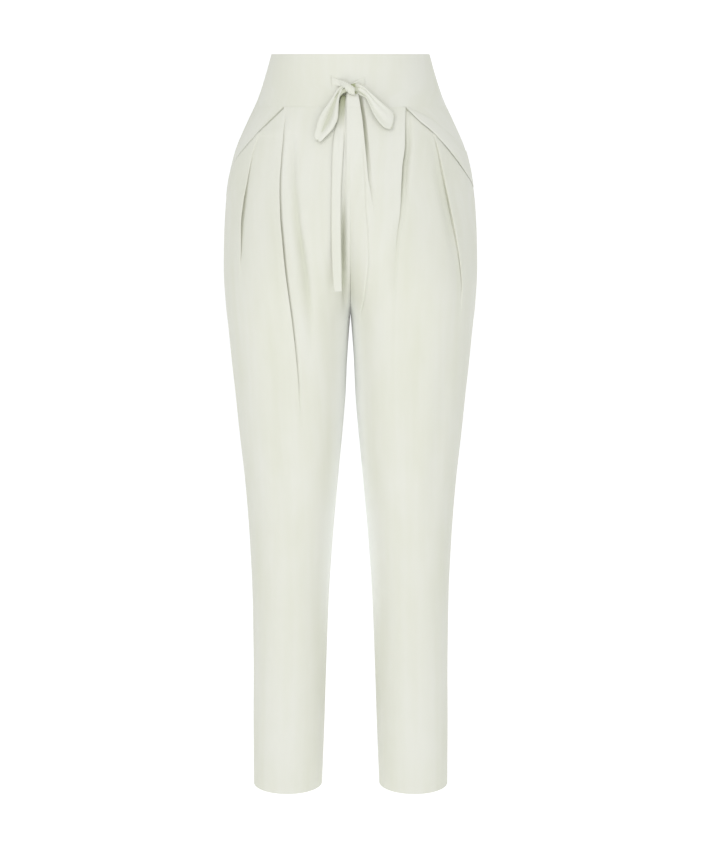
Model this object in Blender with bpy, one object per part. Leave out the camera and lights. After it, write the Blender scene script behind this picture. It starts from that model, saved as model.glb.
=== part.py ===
# High-waisted pleated trousers with a wide waistband and a sash tied in a bow, as one hollow garment
# filled out as if worn. Metres, +Z up, the front faces -Y, the wearer's left is +X.
# The origin is the centre of the waist opening, level with the top edge of the band.
import bpy
import numpy as np

MM = 0.001
WALL = 0.0015  # cloth thickness
HALF_GAP = 0.00015  # half the gap at each seam
LAYER = 0.0024  # how far one layer of cloth lies above the one under it
WAIST_SEAM = -0.069
CROTCH = -0.355
HEM = -1.05
PLEAT_HALF = 0.001  # half the width of a pleat's step
LAP = 0.011  # how far a facing runs on under the edge that covers it
RIGHT, LEFT = -1, 1
FRONT, BACK = -1, 1

# Half width at the side seam and depth of the front and of the back, at each height, in mm
SECTIONS = (  # z, outer, front, back
    (0, 107.8, 90, 90),
    (-30, 116.5, 92, 94),
    (-60, 126.8, 97, 100),
    (-90, 141, 102.5, 107),
    (-130, 158.4, 108, 115),
    (-170, 168.2, 113.5, 121),
    (-210, 173, 118, 124.5),
    (-250, 175.3, 120, 124),
    (-295, 176.3, 119, 119),
    (-340, 174.3, 114, 110),
    (-380, 170.4, 108, 101),
    (-420, 167, 102, 94),
    (-470, 162, 96, 88),
    (-520, 157.5, 90, 84),
    (-600, 149.5, 80, 76),
    (-680, 144.2, 72, 69),
    (-770, 141, 64, 64),
    (-860, 140.5, 57, 60),
    (-950, 141.5, 52, 57),
    (-1050, 142, 47, 54),
)
INSEAM = (  # z, x of the inseam
    (-355, 0),
    (-380, 2),
    (-400, 3.5),
    (-420, 4.8),
    (-470, 7),
    (-520, 11),
    (-600, 18.5),
    (-680, 25.5),
    (-770, 31.5),
    (-860, 35),
    (-950, 38),
    (-1050, 42),
)
# How far the two leg tubes have parted above the crotch: 0 is one oval, 1 is two legs that touch
MERGE = {
    FRONT: ((-80, 0), (-110, 0.03), (-150, 0.10), (-200, 0.25), (-250, 0.50), (-300, 0.78), (-330, 0.93),
            (-345, 0.98), (-355, 1)),
    BACK: ((-130, 0), (-170, 0.03), (-210, 0.09), (-250, 0.22), (-280, 0.42), (-310, 0.70), (-330, 0.88),
           (-345, 0.975), (-355, 1)),
}
# Slanted edge of the front panel at the pocket: z, x in mm from the waist seam to the side seam
POCKET = {
    RIGHT: ((-69, 86), (-72.5, 89), (-86.7, 105.1), (-104.8, 123.4), (-121.7, 139.5), (-137.7, 153.3),
            (-153.8, 163.2), (-172, 168.6)),
    LEFT: ((-69, 74.5), (-76.4, 81.3), (-87.7, 93), (-100.5, 108.5), (-110.8, 119), (-128.8, 134.9),
           (-149.9, 151.2), (-169.1, 164.3), (-180.4, 169.9)),
}
WELT_TOP = ((-69, 77), (-72.5, 82), (-75.2, 87.8), (-83, 103.4), (-98.6, 124.6), (-111.9, 140.8), (-131, 158.8))
# Fold lines of the front panels, z and x in mm; each runs on to the hem as a line of the mesh
OUTER_PLEAT = {
    RIGHT: ((-104.8, 123.4), (-123.6, 129.8), (-141.3, 133.9), (-163.9, 139), (-197.2, 144.2), (-226.4, 146.9),
            (-259.7, 147.5), (-285.2, 148.4), (-330, 147), (-400, 141), (-520, 131), (-700, 121), (-1050, 122)),
    LEFT: ((-105.5, 111.1), (-128.1, 117.6), (-153.1, 122.7), (-183.3, 129.1), (-213.6, 135.8), (-244.2, 142.4),
           (-277.8, 148), (-311.3, 151.1), (-350, 150), (-420, 143), (-520, 132), (-700, 121), (-1050, 122)),
}
INNER_PLEAT = {
    RIGHT: ((-69, 85), (-100, 88), (-137.2, 91.8), (-174.3, 93.8), (-211.5, 92.9), (-241.5, 90.4), (-281.1, 86.8),
            (-311.9, 83.2), (-350.3, 78.5), (-407.4, 72.9), (-499.3, 66.7), (-560, 63), (-700, 62), (-1050, 70)),
    LEFT: ((-69, 73.5), (-99.7, 72.4), (-117, 72.3), (-149.1, 68.6), (-178.7, 67.2), (-205.9, 66), (-235.7, 62.2),
           (-265.9, 59.8), (-312, 57.6), (-350.7, 55.7), (-420, 56), (-540, 58), (-700, 62), (-1050, 70)),
}
TROUGH = {
    RIGHT: ((-69, 72), (-117.1, 76.5), (-161.5, 73.9), (-205.7, 68.8), (-248.2, 63.8), (-294, 56.6), (-330, 51.6),
            (-364.8, 49), (-430, 46), (-520, 44), (-700, 45), (-1050, 55)),
    LEFT: ((-69, 14.3), (-85.6, 17.2), (-111.6, 19.8), (-137.6, 22.5), (-163.6, 25.1), (-183.2, 28.5), (-230, 32),
           (-300, 34), (-420, 35), (-520, 40), (-700, 45), (-1050, 55)),
}
# Height of each pleat's step and depth of each trough along it, in mm
OUTER_STEP = {
    RIGHT: ((-104.8, 1), (-130, 3), (-180, 5.5), (-225, 6), (-260, 4.5), (-300, 1.5), (-335, 0)),
    LEFT: ((-104.8, 1), (-130, 3), (-165, 5), (-215, 5.5), (-255, 4.5), (-300, 1.5), (-335, 0)),
}
INNER_STEP = {
    RIGHT: ((-69, 1.5), (-100, 3), (-150, 4), (-200, 4), (-260, 3.2), (-320, 2.2), (-420, 1.2), (-560, 0)),
    LEFT: ((-69, 2), (-100, 4), (-150, 6.5), (-200, 6), (-250, 4), (-290, 2), (-340, 0)),
}
TROUGH_DEPTH = {
    RIGHT: ((-80, 0), (-120, 1.5), (-200, 2.6), (-280, 2), (-345, 0)),
    LEFT: ((-69, 0.6), (-80, 3.2), (-110, 3.8), (-150, 2.6), (-190, 0.6), (-215, 0)),
}
TROUGH_WIDTH = {RIGHT: 9 * MM, LEFT: 5 * MM}
LEVEL_ROWS = (-0.25, -0.28, -0.305, -0.325, -0.34, -0.349, -0.3537, -0.355, -0.3575, -0.366, -0.38, -0.4, -0.43,
              -0.47, -0.52, -0.58, -0.65, -0.73, -0.81, -0.89, -0.97, HEM)

# Colour of the cloth
CLOTH = (0.79, 0.81, 0.74, 1)


def smooth(table, column, z):
    """A smooth curve through one column of a table, with no overshoot, read at height z."""
    rows = np.array(table, float)[::-1]
    heights, values = rows[:, 0] * MM, rows[:, column]
    step = np.diff(heights)
    slope = np.diff(values) / step
    tangent = np.empty(len(heights))
    tangent[0], tangent[-1] = slope[0], slope[-1]
    before, after = slope[:-1], slope[1:]
    level = before * after <= 0
    heavy, light = 2 * step[1:] + step[:-1], step[1:] + 2 * step[:-1]
    mean = heavy / np.where(level, 1, before) + light / np.where(level, 1, after)
    tangent[1:-1] = np.where(level, 0, (heavy + light) / mean)
    z = np.clip(np.asarray(z, float), heights[0], heights[-1])
    i = np.clip(np.searchsorted(heights, z) - 1, 0, len(heights) - 2)
    h = step[i]
    s = (z - heights[i]) / h
    start = values[i] * (1 + 2 * s) * (1 - s) ** 2 + tangent[i] * h * s * (1 - s) ** 2
    end = values[i + 1] * s * s * (3 - 2 * s) + tangent[i + 1] * h * s * s * (s - 1)
    return start + end


def ease(t):
    t = np.clip(t, 0, 1)
    return t * t * (3 - 2 * t)


# The plain body of the garment: at each height every leg is an oval in an angle that runs from the
# side seam (0) over the front or the back to the centre seam or the inseam

def oval(face, z):
    """Centre, half width, depth and squareness of the inner half of one leg's oval."""
    z = np.asarray(z, float)
    outer = smooth(SECTIONS, 1, z) * MM
    depth = smooth(SECTIONS, 2 if face == FRONT else 3, z) * MM
    inner = smooth(INSEAM, 1, z) * MM
    merge = smooth(MERGE[face], 1, z)
    above = z > CROTCH
    half = np.where(above, outer / (1 + merge), (outer - inner) / 2)
    centre = np.where(above, merge * half, (outer + inner) / 2)
    power = 2 + 0.6 * merge * np.clip((z + 0.75) / 0.35, 0, 1)
    return centre, half, depth, power


def body_point(side, face, angle, z):
    centre, half, depth, power = oval(face, z)
    c, s = np.cos(angle), np.sin(angle)
    p = np.where(c < 0, 2 / power, 1)
    x = centre + half * np.sign(c) * np.abs(c) ** p
    y = depth * np.abs(s) ** p
    x, y, z = np.broadcast_arrays(x, y, z)
    return np.stack([side * (x + HALF_GAP), face * (y + HALF_GAP), z], -1)


def body_normal(side, face, angle, z):
    """Outward direction of the plain body."""
    angle, z = np.broadcast_arrays(np.asarray(angle, float), np.asarray(z, float))
    e = 1e-4
    low, high = np.clip(angle - e, 0, np.pi), np.clip(angle + e, 0, np.pi)
    along = body_point(side, face, high, z) - body_point(side, face, low, z)
    up = body_point(side, face, angle, z + e) - body_point(side, face, angle, z - e)
    n = np.cross(along, up) * (side * face)
    n[..., 2] = np.clip(n[..., 2], -abs(n[..., :2]).sum(-1), abs(n[..., :2]).sum(-1))
    return n / np.linalg.norm(n, axis=-1, keepdims=True)


def angle_at(face, x, z):
    centre, half, depth, power = oval(face, z)
    r = np.clip((x - centre) / half, -1, 1)
    return np.arccos(np.where(r < 0, -np.abs(r) ** (power / 2), r))


def centre_angle(face, z):
    return np.where(np.asarray(z) > CROTCH, angle_at(face, 0, z), np.pi)


def line_angle(table, z, shift=0):
    return angle_at(FRONT, smooth(table, 1, z) * MM + shift, z)


def shell(name, outer, inner, colour=CLOTH):
    """One closed sheet of cloth between two grids of points."""
    rows, columns = outer.shape[:2]
    count = rows * columns
    points = np.concatenate([outer.reshape(-1, 3), inner.reshape(-1, 3)])
    faces = []
    for j in range(rows - 1):
        for i in range(columns - 1):
            a, b = j * columns + i, (j + 1) * columns + i
            faces.append((a, a + 1, b + 1, b))
            faces.append((count + a, count + b, count + b + 1, count + a + 1))
    rim = [(0, i) for i in range(columns)]
    rim += [(j, columns - 1) for j in range(1, rows)]
    rim += [(rows - 1, i) for i in range(columns - 2, -1, -1)]
    rim += [(j, 0) for j in range(rows - 2, 0, -1)]
    ring = [j * columns + i for j, i in rim]
    for a, b in zip(ring, ring[1:] + ring[:1]):
        faces.append((b, a, count + a, count + b))
    return body(name, points, faces, colour)


def body(name, points, faces, colour=CLOTH):
    """A mesh object with its faces turned outwards."""
    volume = 0
    for face in faces:
        for k in range(1, len(face) - 1):
            a, b, c = points[face[0]], points[face[k]], points[face[k + 1]]
            volume += np.dot(a, np.cross(b, c))
    if volume < 0:
        faces = [face[::-1] for face in faces]
    mesh = bpy.data.meshes.new(name)
    mesh.from_pydata([tuple(p) for p in points], [], faces)
    mesh.update()
    material = bpy.data.materials.new(name)
    material.use_nodes = True
    principled = material.node_tree.nodes["Principled BSDF"]
    principled.inputs["Base Color"].default_value = colour
    principled.inputs["Roughness"].default_value = 0.85
    mesh.materials.append(material)
    piece = bpy.data.objects.new(name, mesh)
    bpy.context.scene.collection.objects.link(piece)
    return piece


def edge_distance(side, table, points):
    """How far each point lies from a line drawn on the front."""
    z = np.linspace(table[0][0], table[-1][0], 90) * MM
    line = body_point(side, FRONT, line_angle(table, z), z)
    return np.linalg.norm(points[..., None, :] - line, axis=-1).min(-1)


def fold_height(side, angle, z):
    """How far the pleats and troughs move the front panel out of its plain body."""
    x = np.abs(body_point(side, FRONT, angle, z)[..., 0]) - HALF_GAP
    height = np.zeros_like(x)
    for line, step, rise, fall in (
        (OUTER_PLEAT, OUTER_STEP, 13 * MM, 9 * MM),
        (INNER_PLEAT, INNER_STEP, 24 * MM, 14 * MM),
    ):
        off = x - smooth(line[side], 1, z) * MM
        size = smooth(step[side], 1, z) * MM
        size = np.where(z > step[side][0][0] * MM + 0.001, 0, size)
        above = 0.75 * size * (1 - ease(off / rise))
        under = -0.25 * size * (1 - ease(-off / fall))
        height += np.where(off > 0, above, under)
    off = x - smooth(TROUGH[side], 1, z) * MM
    depth = smooth(TROUGH_DEPTH[side], 1, z) * MM
    return height - depth * np.exp(-((off / TROUGH_WIDTH[side]) ** 2))


def front_panel(name, side):
    """A front leg panel, from the waist seam and the pocket's edge to the hem."""
    outer, inner, trough = OUTER_PLEAT[side], INNER_PLEAT[side], TROUGH[side]
    pocket = POCKET[side]
    lines = (
        lambda z: np.zeros_like(z),
        lambda z: line_angle(outer, z, PLEAT_HALF),
        lambda z: line_angle(outer, z, -PLEAT_HALF),
        lambda z: line_angle(inner, z, PLEAT_HALF),
        lambda z: line_angle(inner, z, -PLEAT_HALF),
        lambda z: line_angle(trough, z),
        lambda z: centre_angle(FRONT, z),
    )
    # Between one line and the next: how many columns
    spans = (6, 1, 4, 1, 3 if side == RIGHT else 5, 6 if side == RIGHT else 4)
    places = [(k, i / n) for k, n in enumerate(spans) for i in range(n)] + [(5, 1.0)]
    stepped = {spans[0]: 1, spans[0] + 1: 1, sum(spans[:3]): 1, sum(spans[:3]) + 1: 1}

    def column_angle(place, z):
        k, part = place
        return lines[k](z) * (1 - part) + lines[k + 1](z) * part

    top = []
    for place in places:
        z = np.linspace(pocket[-1][0] * MM, WAIST_SEAM, 400)
        over = line_angle(pocket, z) - column_angle(place, z)
        over[0] = min(over[0], 0)
        top.append(z[np.nonzero(over <= 0)[0][-1]] if place < (3, 0) else WAIST_SEAM)
    top[0] = pocket[-1][0] * MM
    top = np.array(top) - HALF_GAP
    parts = (0, 0.07, 0.18, 0.32, 0.48, 0.65, 0.82)
    rows = [top + (LEVEL_ROWS[0] - top) * part for part in parts]
    rows += [np.full(len(places), z) for z in LEVEL_ROWS]
    z = np.array(rows)
    angle = np.stack([column_angle(place, z[:, i]) for i, place in enumerate(places)], 1)

    plain = body_point(side, FRONT, angle, z)
    layers = 1 if side == RIGHT else 2
    lip = layers * LAYER * (1 - ease((edge_distance(side, pocket, plain) - 0.014) / 0.034))
    height = lip + fold_height(side, angle, z)
    shifted = angle.copy()
    for i in stepped:
        line = outer if i < sum(spans[:3]) else inner
        half = PLEAT_HALF if i in (spans[0], sum(spans[:3])) else -PLEAT_HALF
        size = smooth((OUTER_STEP if line is outer else INNER_STEP)[side], 1, z[:, i])
        back = WALL * size / (size + 1)
        shifted[:, i] = line_angle(line, z[:, i], half + back)
    shifted[0] = angle[0]
    outside = plain + height[..., None] * body_normal(side, FRONT, angle, z)
    under = body_point(side, FRONT, shifted, z)
    inside = under + (height - WALL)[..., None] * body_normal(side, FRONT, shifted, z)
    seam = WAIST_SEAM - HALF_GAP
    outside[0, :, 2] = np.minimum(outside[0, :, 2], seam)
    inside[0, :, 2] = np.minimum(inside[0, :, 2], outside[0, :, 2])
    inside[-1, :, 2] = HEM
    return shell(name, outside, inside)


def back_panel(name, side):
    """A back leg panel, from the waist seam to the hem."""
    heights = (WAIST_SEAM - HALF_GAP, -0.09, -0.12, -0.155, -0.19, -0.22) + LEVEL_ROWS
    parts = np.linspace(0, 1, 14)
    z = np.repeat(np.array(heights)[:, None], len(parts), 1)
    angle = centre_angle(BACK, z) * parts
    outside = body_point(side, BACK, angle, z)
    inside = outside - WALL * body_normal(side, BACK, angle, z)
    inside[0, :, 2] = WAIST_SEAM - HALF_GAP
    inside[-1, :, 2] = HEM
    return shell(name, outside, inside)


def waistband(name, face):
    """Half of the wide band, from side seam to side seam."""
    heights = np.array((0, -0.023, -0.046, WAIST_SEAM + HALF_GAP))
    angles = np.linspace(0, np.pi / 2, 14)
    halves = []
    for side, run in ((RIGHT, angles), (LEFT, angles[-2::-1])):
        z = np.repeat(heights[:, None], len(run), 1)
        angle = np.repeat(run[None], len(heights), 0)
        outside = body_point(side, face, angle, z)
        outside[np.isclose(angle, np.pi / 2), 0] = 0
        inside = outside - WALL * body_normal(side, face, angle, z)
        inside[:, :, 2] = z
        halves.append((outside, inside))
    outside, inside = (np.concatenate(both, 1) for both in zip(*halves))
    return shell(name, outside, inside)


def strip(name, side, layers, heights, start, end):
    """A piece between two lines on the front, as many layers up as stated."""
    across = np.linspace(0, 1, 10)
    z = np.repeat(np.array(heights)[:, None], len(across), 1)
    angle = start(z) * (1 - across) + end(z) * across
    normal = body_normal(side, FRONT, angle, z)
    outside = body_point(side, FRONT, angle, z) + layers * LAYER * normal
    inside = outside - WALL * normal
    outside[0, :, 2] = WAIST_SEAM - HALF_GAP
    inside[0, :, 2] = WAIST_SEAM - HALF_GAP
    return shell(name, outside, inside)


def past(line, z):
    """The angle a little past a line, and past the side seam where the line has run out."""
    over = LAP / 0.125
    return np.where(z < line[-1][0] * MM, 0, line_angle(line, z)) + over


def hip_facings():
    """The hip piece that shows above each pocket edge, running on under it."""
    for name, side, line in (("hip_facing_right", RIGHT, POCKET[RIGHT]), ("hip_facing_left", LEFT, WELT_TOP)):
        foot = line[-1][0] * MM - 0.008
        heights = np.linspace(WAIST_SEAM - HALF_GAP, foot, 13)
        strip(name, side, 0, heights, lambda z: np.zeros_like(z), lambda z: past(line, z))


def pocket_welt():
    """The folded edge band that lies between the left hip piece and the left front panel."""
    line = POCKET[LEFT]
    foot = line[-1][0] * MM - 0.008
    heights = np.concatenate([[WAIST_SEAM - HALF_GAP], np.linspace(-0.073, foot, 17)])
    strip("pocket_welt_left", LEFT, 1, heights,
          lambda z: np.where(z < WELT_TOP[-1][0] * MM, 0, line_angle(WELT_TOP, z)),
          lambda z: past(line, z))


# The sash: a flat ribbon that comes out of the band at both sides of the centre and is tied in a bow
RIBBON = 1.2 * MM
SASH = {  # x, how far out from the cloth, z, half width in mm, direction of the width in degrees from level
    "tie_strand_right": (
        (-25.0, 1.1, -34.4, 6.4, 90), (-20.0, 1.8, -36.6, 5.0, 86), (-15.0, 3.2, -39.4, 3.8, 82),
        (-9.2, 5.6, -42.2, 3.2, 80),
    ),
    "tie_strand_left": (
        (18.8, 1.1, -33.6, 5.2, 90), (15.0, 1.8, -35.6, 4.4, 94), (11.6, 3.2, -37.6, 3.8, 98),
        (8.0, 5.2, -39.6, 3.0, 100),
    ),
    "tie_loop_right": (
        (-12.2, 8.4, -47.6, 3.2, -30), (-17.5, 11.4, -58.0, 4.6, -28), (-23.0, 13.0, -71.0, 6.2, -25),
        (-28.0, 14.0, -85.0, 8.0, -30), (-33.0, 14.0, -97.0, 9.4, -38), (-37.6, 12.4, -105.0, 9.8, -46),
        (-39.4, 9.6, -107.6, 9.4, -48), (-38.8, 7.0, -104.6, 9.4, -38),
        (-36.6, 5.8, -94.0, 10.8, -20), (-32.6, 5.4, -81.0, 9.8, -8), (-26.8, 5.0, -68.0, 7.4, -14),
        (-20.0, 4.6, -57.0, 5.0, -28), (-12.4, 4.4, -49.6, 3.0, -36),
    ),
    "tie_loop_left": (
        (9.0, 8.2, -46.0, 4.6, 95), (17.0, 10.8, -50.0, 5.8, 82), (25.0, 12.6, -57.5, 7.6, 76),
        (33.0, 14.0, -67.0, 10.0, 76), (42.0, 15.0, -77.0, 12.4, 80), (49.6, 14.0, -82.5, 13.4, 85),
        (52.6, 11.0, -83.9, 13.4, 86), (50.8, 7.8, -83.2, 13.0, 86), (44.0, 6.0, -78.0, 12.2, 82),
        (34.0, 5.2, -68.0, 9.8, 77), (25.0, 4.8, -58.0, 7.4, 76), (16.5, 4.4, -50.8, 5.0, 86),
        (9.2, 4.4, -46.6, 4.0, 95),
    ),
    "tie_tail_right": (
        (-9.6, 6.4, -56.4, 4.2, 4), (-11.2, 5.4, -72.0, 4.8, 2), (-13.4, 4.0, -98.0, 5.6, 0),
        (-16.0, 3.2, -124.0, 6.2, -2), (-17.8, 2.9, -163.0, 6.5, -2), (-18.6, 2.9, -215.0, 6.4, 0),
        (-18.4, 2.9, -256.0, 6.2, 2), (-17.2, 2.9, -290.0, 5.9, 2), (-15.6, 2.9, -312.0, 5.6, 2),
    ),
    "tie_tail_left": (
        (-4.6, 3.6, -56.6, 4.2, 0), (-7.0, 2.8, -72.0, 4.8, 0), (-10.4, 1.7, -98.0, 5.4, 0),
        (-13.6, 1.3, -124.0, 5.8, 0), (-15.6, 1.2, -163.0, 6.0, 0), (-16.6, 1.2, -215.0, 6.0, 0),
        (-16.6, 1.2, -250.0, 5.8, 0), (-16.2, 1.2, -272.0, 5.4, 0),
    ),
}
KNOT = (-0.7, 7.2, -45.8)  # x, out from the cloth, z of its middle in mm
KNOT_HALF = np.array((8.7, 6.3, 10.2)) * MM


def cloth_y(x, z):
    """y of the plain front at x and z."""
    x, z = np.broadcast_arrays(np.asarray(x, float), np.asarray(z, float))
    return body_point(LEFT, FRONT, angle_at(FRONT, np.abs(x), z), z)[..., 1]


def ribbon(name, rows, parts=3):
    """A flat ribbon along a smooth path over the cloth, with a shallow crown across it."""
    table = np.array(rows, float)
    at = np.arange(len(table), dtype=float)
    fine = np.linspace(0, at[-1], (len(table) - 1) * parts + 1)
    tangent = np.gradient(table, axis=0)
    i = np.minimum(fine.astype(int), len(table) - 2)
    s = (fine - i)[:, None]
    data = table[i] * (1 + 2 * s) * (1 - s) ** 2 + tangent[i] * s * (1 - s) ** 2
    data += table[i + 1] * s * s * (3 - 2 * s) + tangent[i + 1] * s * s * (s - 1)
    x, out, z, half = (data[:, k] * MM for k in range(4))
    turn = np.radians(data[:, 4])
    wide = np.stack([np.cos(turn), np.zeros_like(turn), np.sin(turn)], 1)
    ahead = cloth_y(x + half * wide[:, 0], z + half * wide[:, 2])
    behind = cloth_y(x - half * wide[:, 0], z - half * wide[:, 2])
    y = cloth_y(x, z)
    if "tail" in name:  # a tail hangs straight down from where the front stands out most
        y = np.minimum.accumulate(np.minimum(ahead, behind))
    else:
        wide[:, 1] = (ahead - behind) / (2 * half)
    centre = np.stack([x, y - out, z], 1)
    along = np.gradient(centre, axis=0)
    normal = np.cross(along, wide)
    normal /= np.linalg.norm(normal, axis=1, keepdims=True)
    if normal[0, 1] > 0:
        normal = -normal
    across = np.array((-1, 0, 1.0))
    crown = 0.0006 * (1 - across**2)
    middle = centre[:, None] + half[:, None, None] * across[None, :, None] * wide[:, None]
    upper = middle + (RIBBON / 2 + crown)[None, :, None] * normal[:, None]
    lower = middle + (crown - RIBBON / 2)[None, :, None] * normal[:, None]
    return shell(name, upper, lower)


def knot():
    """The knot: a rounded lump with a slanting wrap across it."""
    rings, around = 9, 16
    x, out, z = (value * MM for value in KNOT)
    centre = np.array((x, cloth_y(x, z) - out, z))
    points = [centre + (0, 0, KNOT_HALF[2])]
    for j in range(1, rings):
        tilt = np.pi * j / rings
        level = np.cos(tilt)
        width = np.sin(tilt) ** 0.6
        for i in range(around):
            turn = 2 * np.pi * i / around
            wrap = 1 + 0.07 * np.cos(turn * 2 - 2.2 * level)
            x = width * np.sign(np.cos(turn)) * abs(np.cos(turn)) ** 0.8 * wrap
            y = width * np.sign(np.sin(turn)) * abs(np.sin(turn)) ** 0.8 * wrap
            points.append(centre + KNOT_HALF * (x, y, level))
    points.append(centre - (0, 0, KNOT_HALF[2]))
    faces = []
    last = len(points) - 1
    for i in range(around):
        k = (i + 1) % around
        faces.append((0, 1 + i, 1 + k))
        faces.append((last, last - around + k, last - around + i))
        for j in range(rings - 2):
            a, b = 1 + j * around, 1 + (j + 1) * around
            faces.append((a + i, b + i, b + k, a + k))
    return body("tie_knot", np.array(points), faces)


def main():
    for old in list(bpy.data.objects):
        bpy.data.objects.remove(old, do_unlink=True)
    front_panel("front_right", RIGHT)
    front_panel("front_left", LEFT)
    back_panel("back_right", RIGHT)
    back_panel("back_left", LEFT)
    waistband("waistband_front", FRONT)
    waistband("waistband_back", BACK)
    hip_facings()
    pocket_welt()
    for name, rows in SASH.items():
        ribbon(name, rows, 2 if "loop" in name else 3)
    knot()


main()
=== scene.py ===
import bpy
import numpy as np
from math import cos, pi, radians, sin
from mathutils import Matrix, Vector


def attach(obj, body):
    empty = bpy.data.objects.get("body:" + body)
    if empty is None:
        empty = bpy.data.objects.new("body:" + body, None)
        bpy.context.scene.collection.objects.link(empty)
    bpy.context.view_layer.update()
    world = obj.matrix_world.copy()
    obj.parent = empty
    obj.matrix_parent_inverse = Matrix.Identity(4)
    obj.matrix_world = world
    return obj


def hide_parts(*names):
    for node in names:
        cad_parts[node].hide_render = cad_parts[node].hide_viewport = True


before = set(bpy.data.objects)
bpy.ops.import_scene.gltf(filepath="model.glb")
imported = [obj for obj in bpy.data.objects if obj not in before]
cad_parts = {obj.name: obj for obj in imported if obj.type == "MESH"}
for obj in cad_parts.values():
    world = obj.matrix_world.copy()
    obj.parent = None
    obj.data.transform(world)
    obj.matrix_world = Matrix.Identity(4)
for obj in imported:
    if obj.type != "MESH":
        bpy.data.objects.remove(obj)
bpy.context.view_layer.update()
mm = 0.001
right, left = -1, 1  # the wearer's sides, as the sign of x
front, back = -1, 1  # as the sign of y

# camera, lights and floor

view = {
    "place": (0.0035, -2.65, 0.0),  # as high as the waist
    "pitchDown": 10.98,
    "lens": 80.95,  # mm, on a sensor as long as the picture's long side
    "sensor": 36,
    "farthest": 50,
}
studio = {
    "floorHeight": -1.32,
    "reach": 7.0,  # from the middle to the floor's front and sides, and to the wall
    "bend": 1.5,  # radius where the floor sweeps up
    "bendSteps": 12,
    "wallHeight": 5.0,
    "floorTone": (0.93, 0.93, 0.92, 1),
    "floorGlow": 0.3,
    "floorRoughness": 0.9,
    "skyTone": (0.97, 0.99, 1.0, 1),
    "skyStrength": 0.67,
    "lamps": (  # name, place, aimed at, width, height, watts, colour
        ("softFront", (-0.8, -3.3, 1.3), (0, 0, -0.5), 2.0, 2.0, 40, (1.0, 0.995, 0.985)),
        ("softSide", (2.2, -2.4, 0.6), (0, 0, -0.5), 1.6, 2.2, 5, (1.0, 1.0, 0.98)),
        ("softTop", (0.2, 0.4, 2.2), (0, 0, -0.4), 2.6, 2.6, 5, (1.0, 1.0, 1.0)),
        ("softBack", (1.9, 2.4, 1.5), (0, 0, -0.5), 1.4, 1.4, 11, (1.0, 1.0, 0.99)),
    ),
}


def addObject(name, data):
    made = bpy.data.objects.new(name, data)
    bpy.context.scene.collection.objects.link(made)
    return made


def smoothMesh(name, points, faces):
    mesh = bpy.data.meshes.new(name)
    mesh.from_pydata(points, [], faces)
    mesh.polygons.foreach_set("use_smooth", [True] * len(mesh.polygons))
    return mesh


def makeCamera():
    lens = bpy.data.cameras.new("studioCamera")
    lens.lens = view["lens"]
    lens.sensor_width = view["sensor"]
    lens.clip_end = view["farthest"]
    camera = addObject("studioCamera", lens)
    camera.location = view["place"]
    camera.rotation_euler = (radians(90 - view["pitchDown"]), 0, 0)
    bpy.context.scene.camera = camera


def makeLamps():
    world = bpy.data.worlds.new("studioSky")
    bpy.context.scene.world = world
    world.use_nodes = True
    sky = world.node_tree.nodes["Background"]
    sky.inputs["Color"].default_value = studio["skyTone"]
    sky.inputs["Strength"].default_value = studio["skyStrength"]
    for name, place, aim, width, height, watts, colour in studio["lamps"]:
        lamp = bpy.data.lights.new(name, "AREA")
        lamp.shape = "RECTANGLE"
        lamp.size, lamp.size_y, lamp.energy, lamp.color = width, height, watts, colour
        stand = addObject(name, lamp)
        stand.location = place
        stand.rotation_euler = (Vector(aim) - Vector(place)).to_track_quat("-Z", "Y").to_euler()
    bpy.context.scene.view_settings.view_transform = "Standard"


def setInputs(tree, node, inputs):
    # gives each input a value, or joins it to another node's output
    for place, value in inputs.items():
        if isinstance(value, bpy.types.NodeSocket):
            tree.links.new(value, node.inputs[place])
        else:
            node.inputs[place].default_value = value


def makeFloor():
    # pale paper that sweeps up into the wall behind
    z0, reach, bend = studio["floorHeight"], studio["reach"], studio["bend"]
    profile = [(-reach, z0), (reach - bend, z0)]
    for a in np.linspace(0, pi / 2, studio["bendSteps"])[1:]:
        profile.append((reach - bend + bend * sin(a), z0 + bend - bend * cos(a)))
    profile.append((reach, z0 + studio["wallHeight"]))
    points = [(x, y, z) for y, z in profile for x in (-reach, reach)]
    faces = [(2 * i, 2 * i + 1, 2 * i + 3, 2 * i + 2) for i in range(len(profile) - 1)]
    floor = addObject("studioFloor", smoothMesh("studioFloor", points, faces))
    paper = bpy.data.materials.new("palePaper")
    paper.use_nodes = True
    setInputs(paper.node_tree, paper.node_tree.nodes["Principled BSDF"], {
        "Base Color": studio["floorTone"], "Roughness": studio["floorRoughness"],
        "Emission Color": (1, 1, 1, 1), "Emission Strength": studio["floorGlow"],
    })
    floor.data.materials.append(paper)


makeCamera()
makeLamps()
makeFloor()
print("camera and studio ready")

# finishes

crepeLook = {
    "light": (0.738, 0.738, 0.672, 1),
    "deep": (0.688, 0.692, 0.588, 1),
    "pale": (0.94, 0.95, 0.92, 1),  # painted light on the inner legs, where little light falls
    "shade": (0.36, 0.39, 0.22, 1),  # painted shade, down in the creases
    "bump": 0.6,
    "unevenGloss": 0.06,  # how far the roughness strays on the threads
    "specular": 0.25,
    "sheenRoughness": 0.45,
    "cloudSpread": (0.32, 0.62, 0.2, 1.0),  # from this much noise to that much, deep to light
}
finishLooks = {  # material, mm from thread to thread, mm of relief, roughness, sheen, how much paler
    "leg": ("legCrepe", 0.42, 0.06, 0.74, 0.1, 0),
    "band": ("bandCrepe", 0.42, 0.06 * 0.8, 0.72, 0.1, 0),
    "sash": ("sashCrepe", 0.42 * 0.9, 0.06 * 0.8, 0.7, 0.12, 0.008),
    "thread": ("sewingThread", 0.25, 0.03, 0.62, 0.05, -0.06),
}
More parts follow.
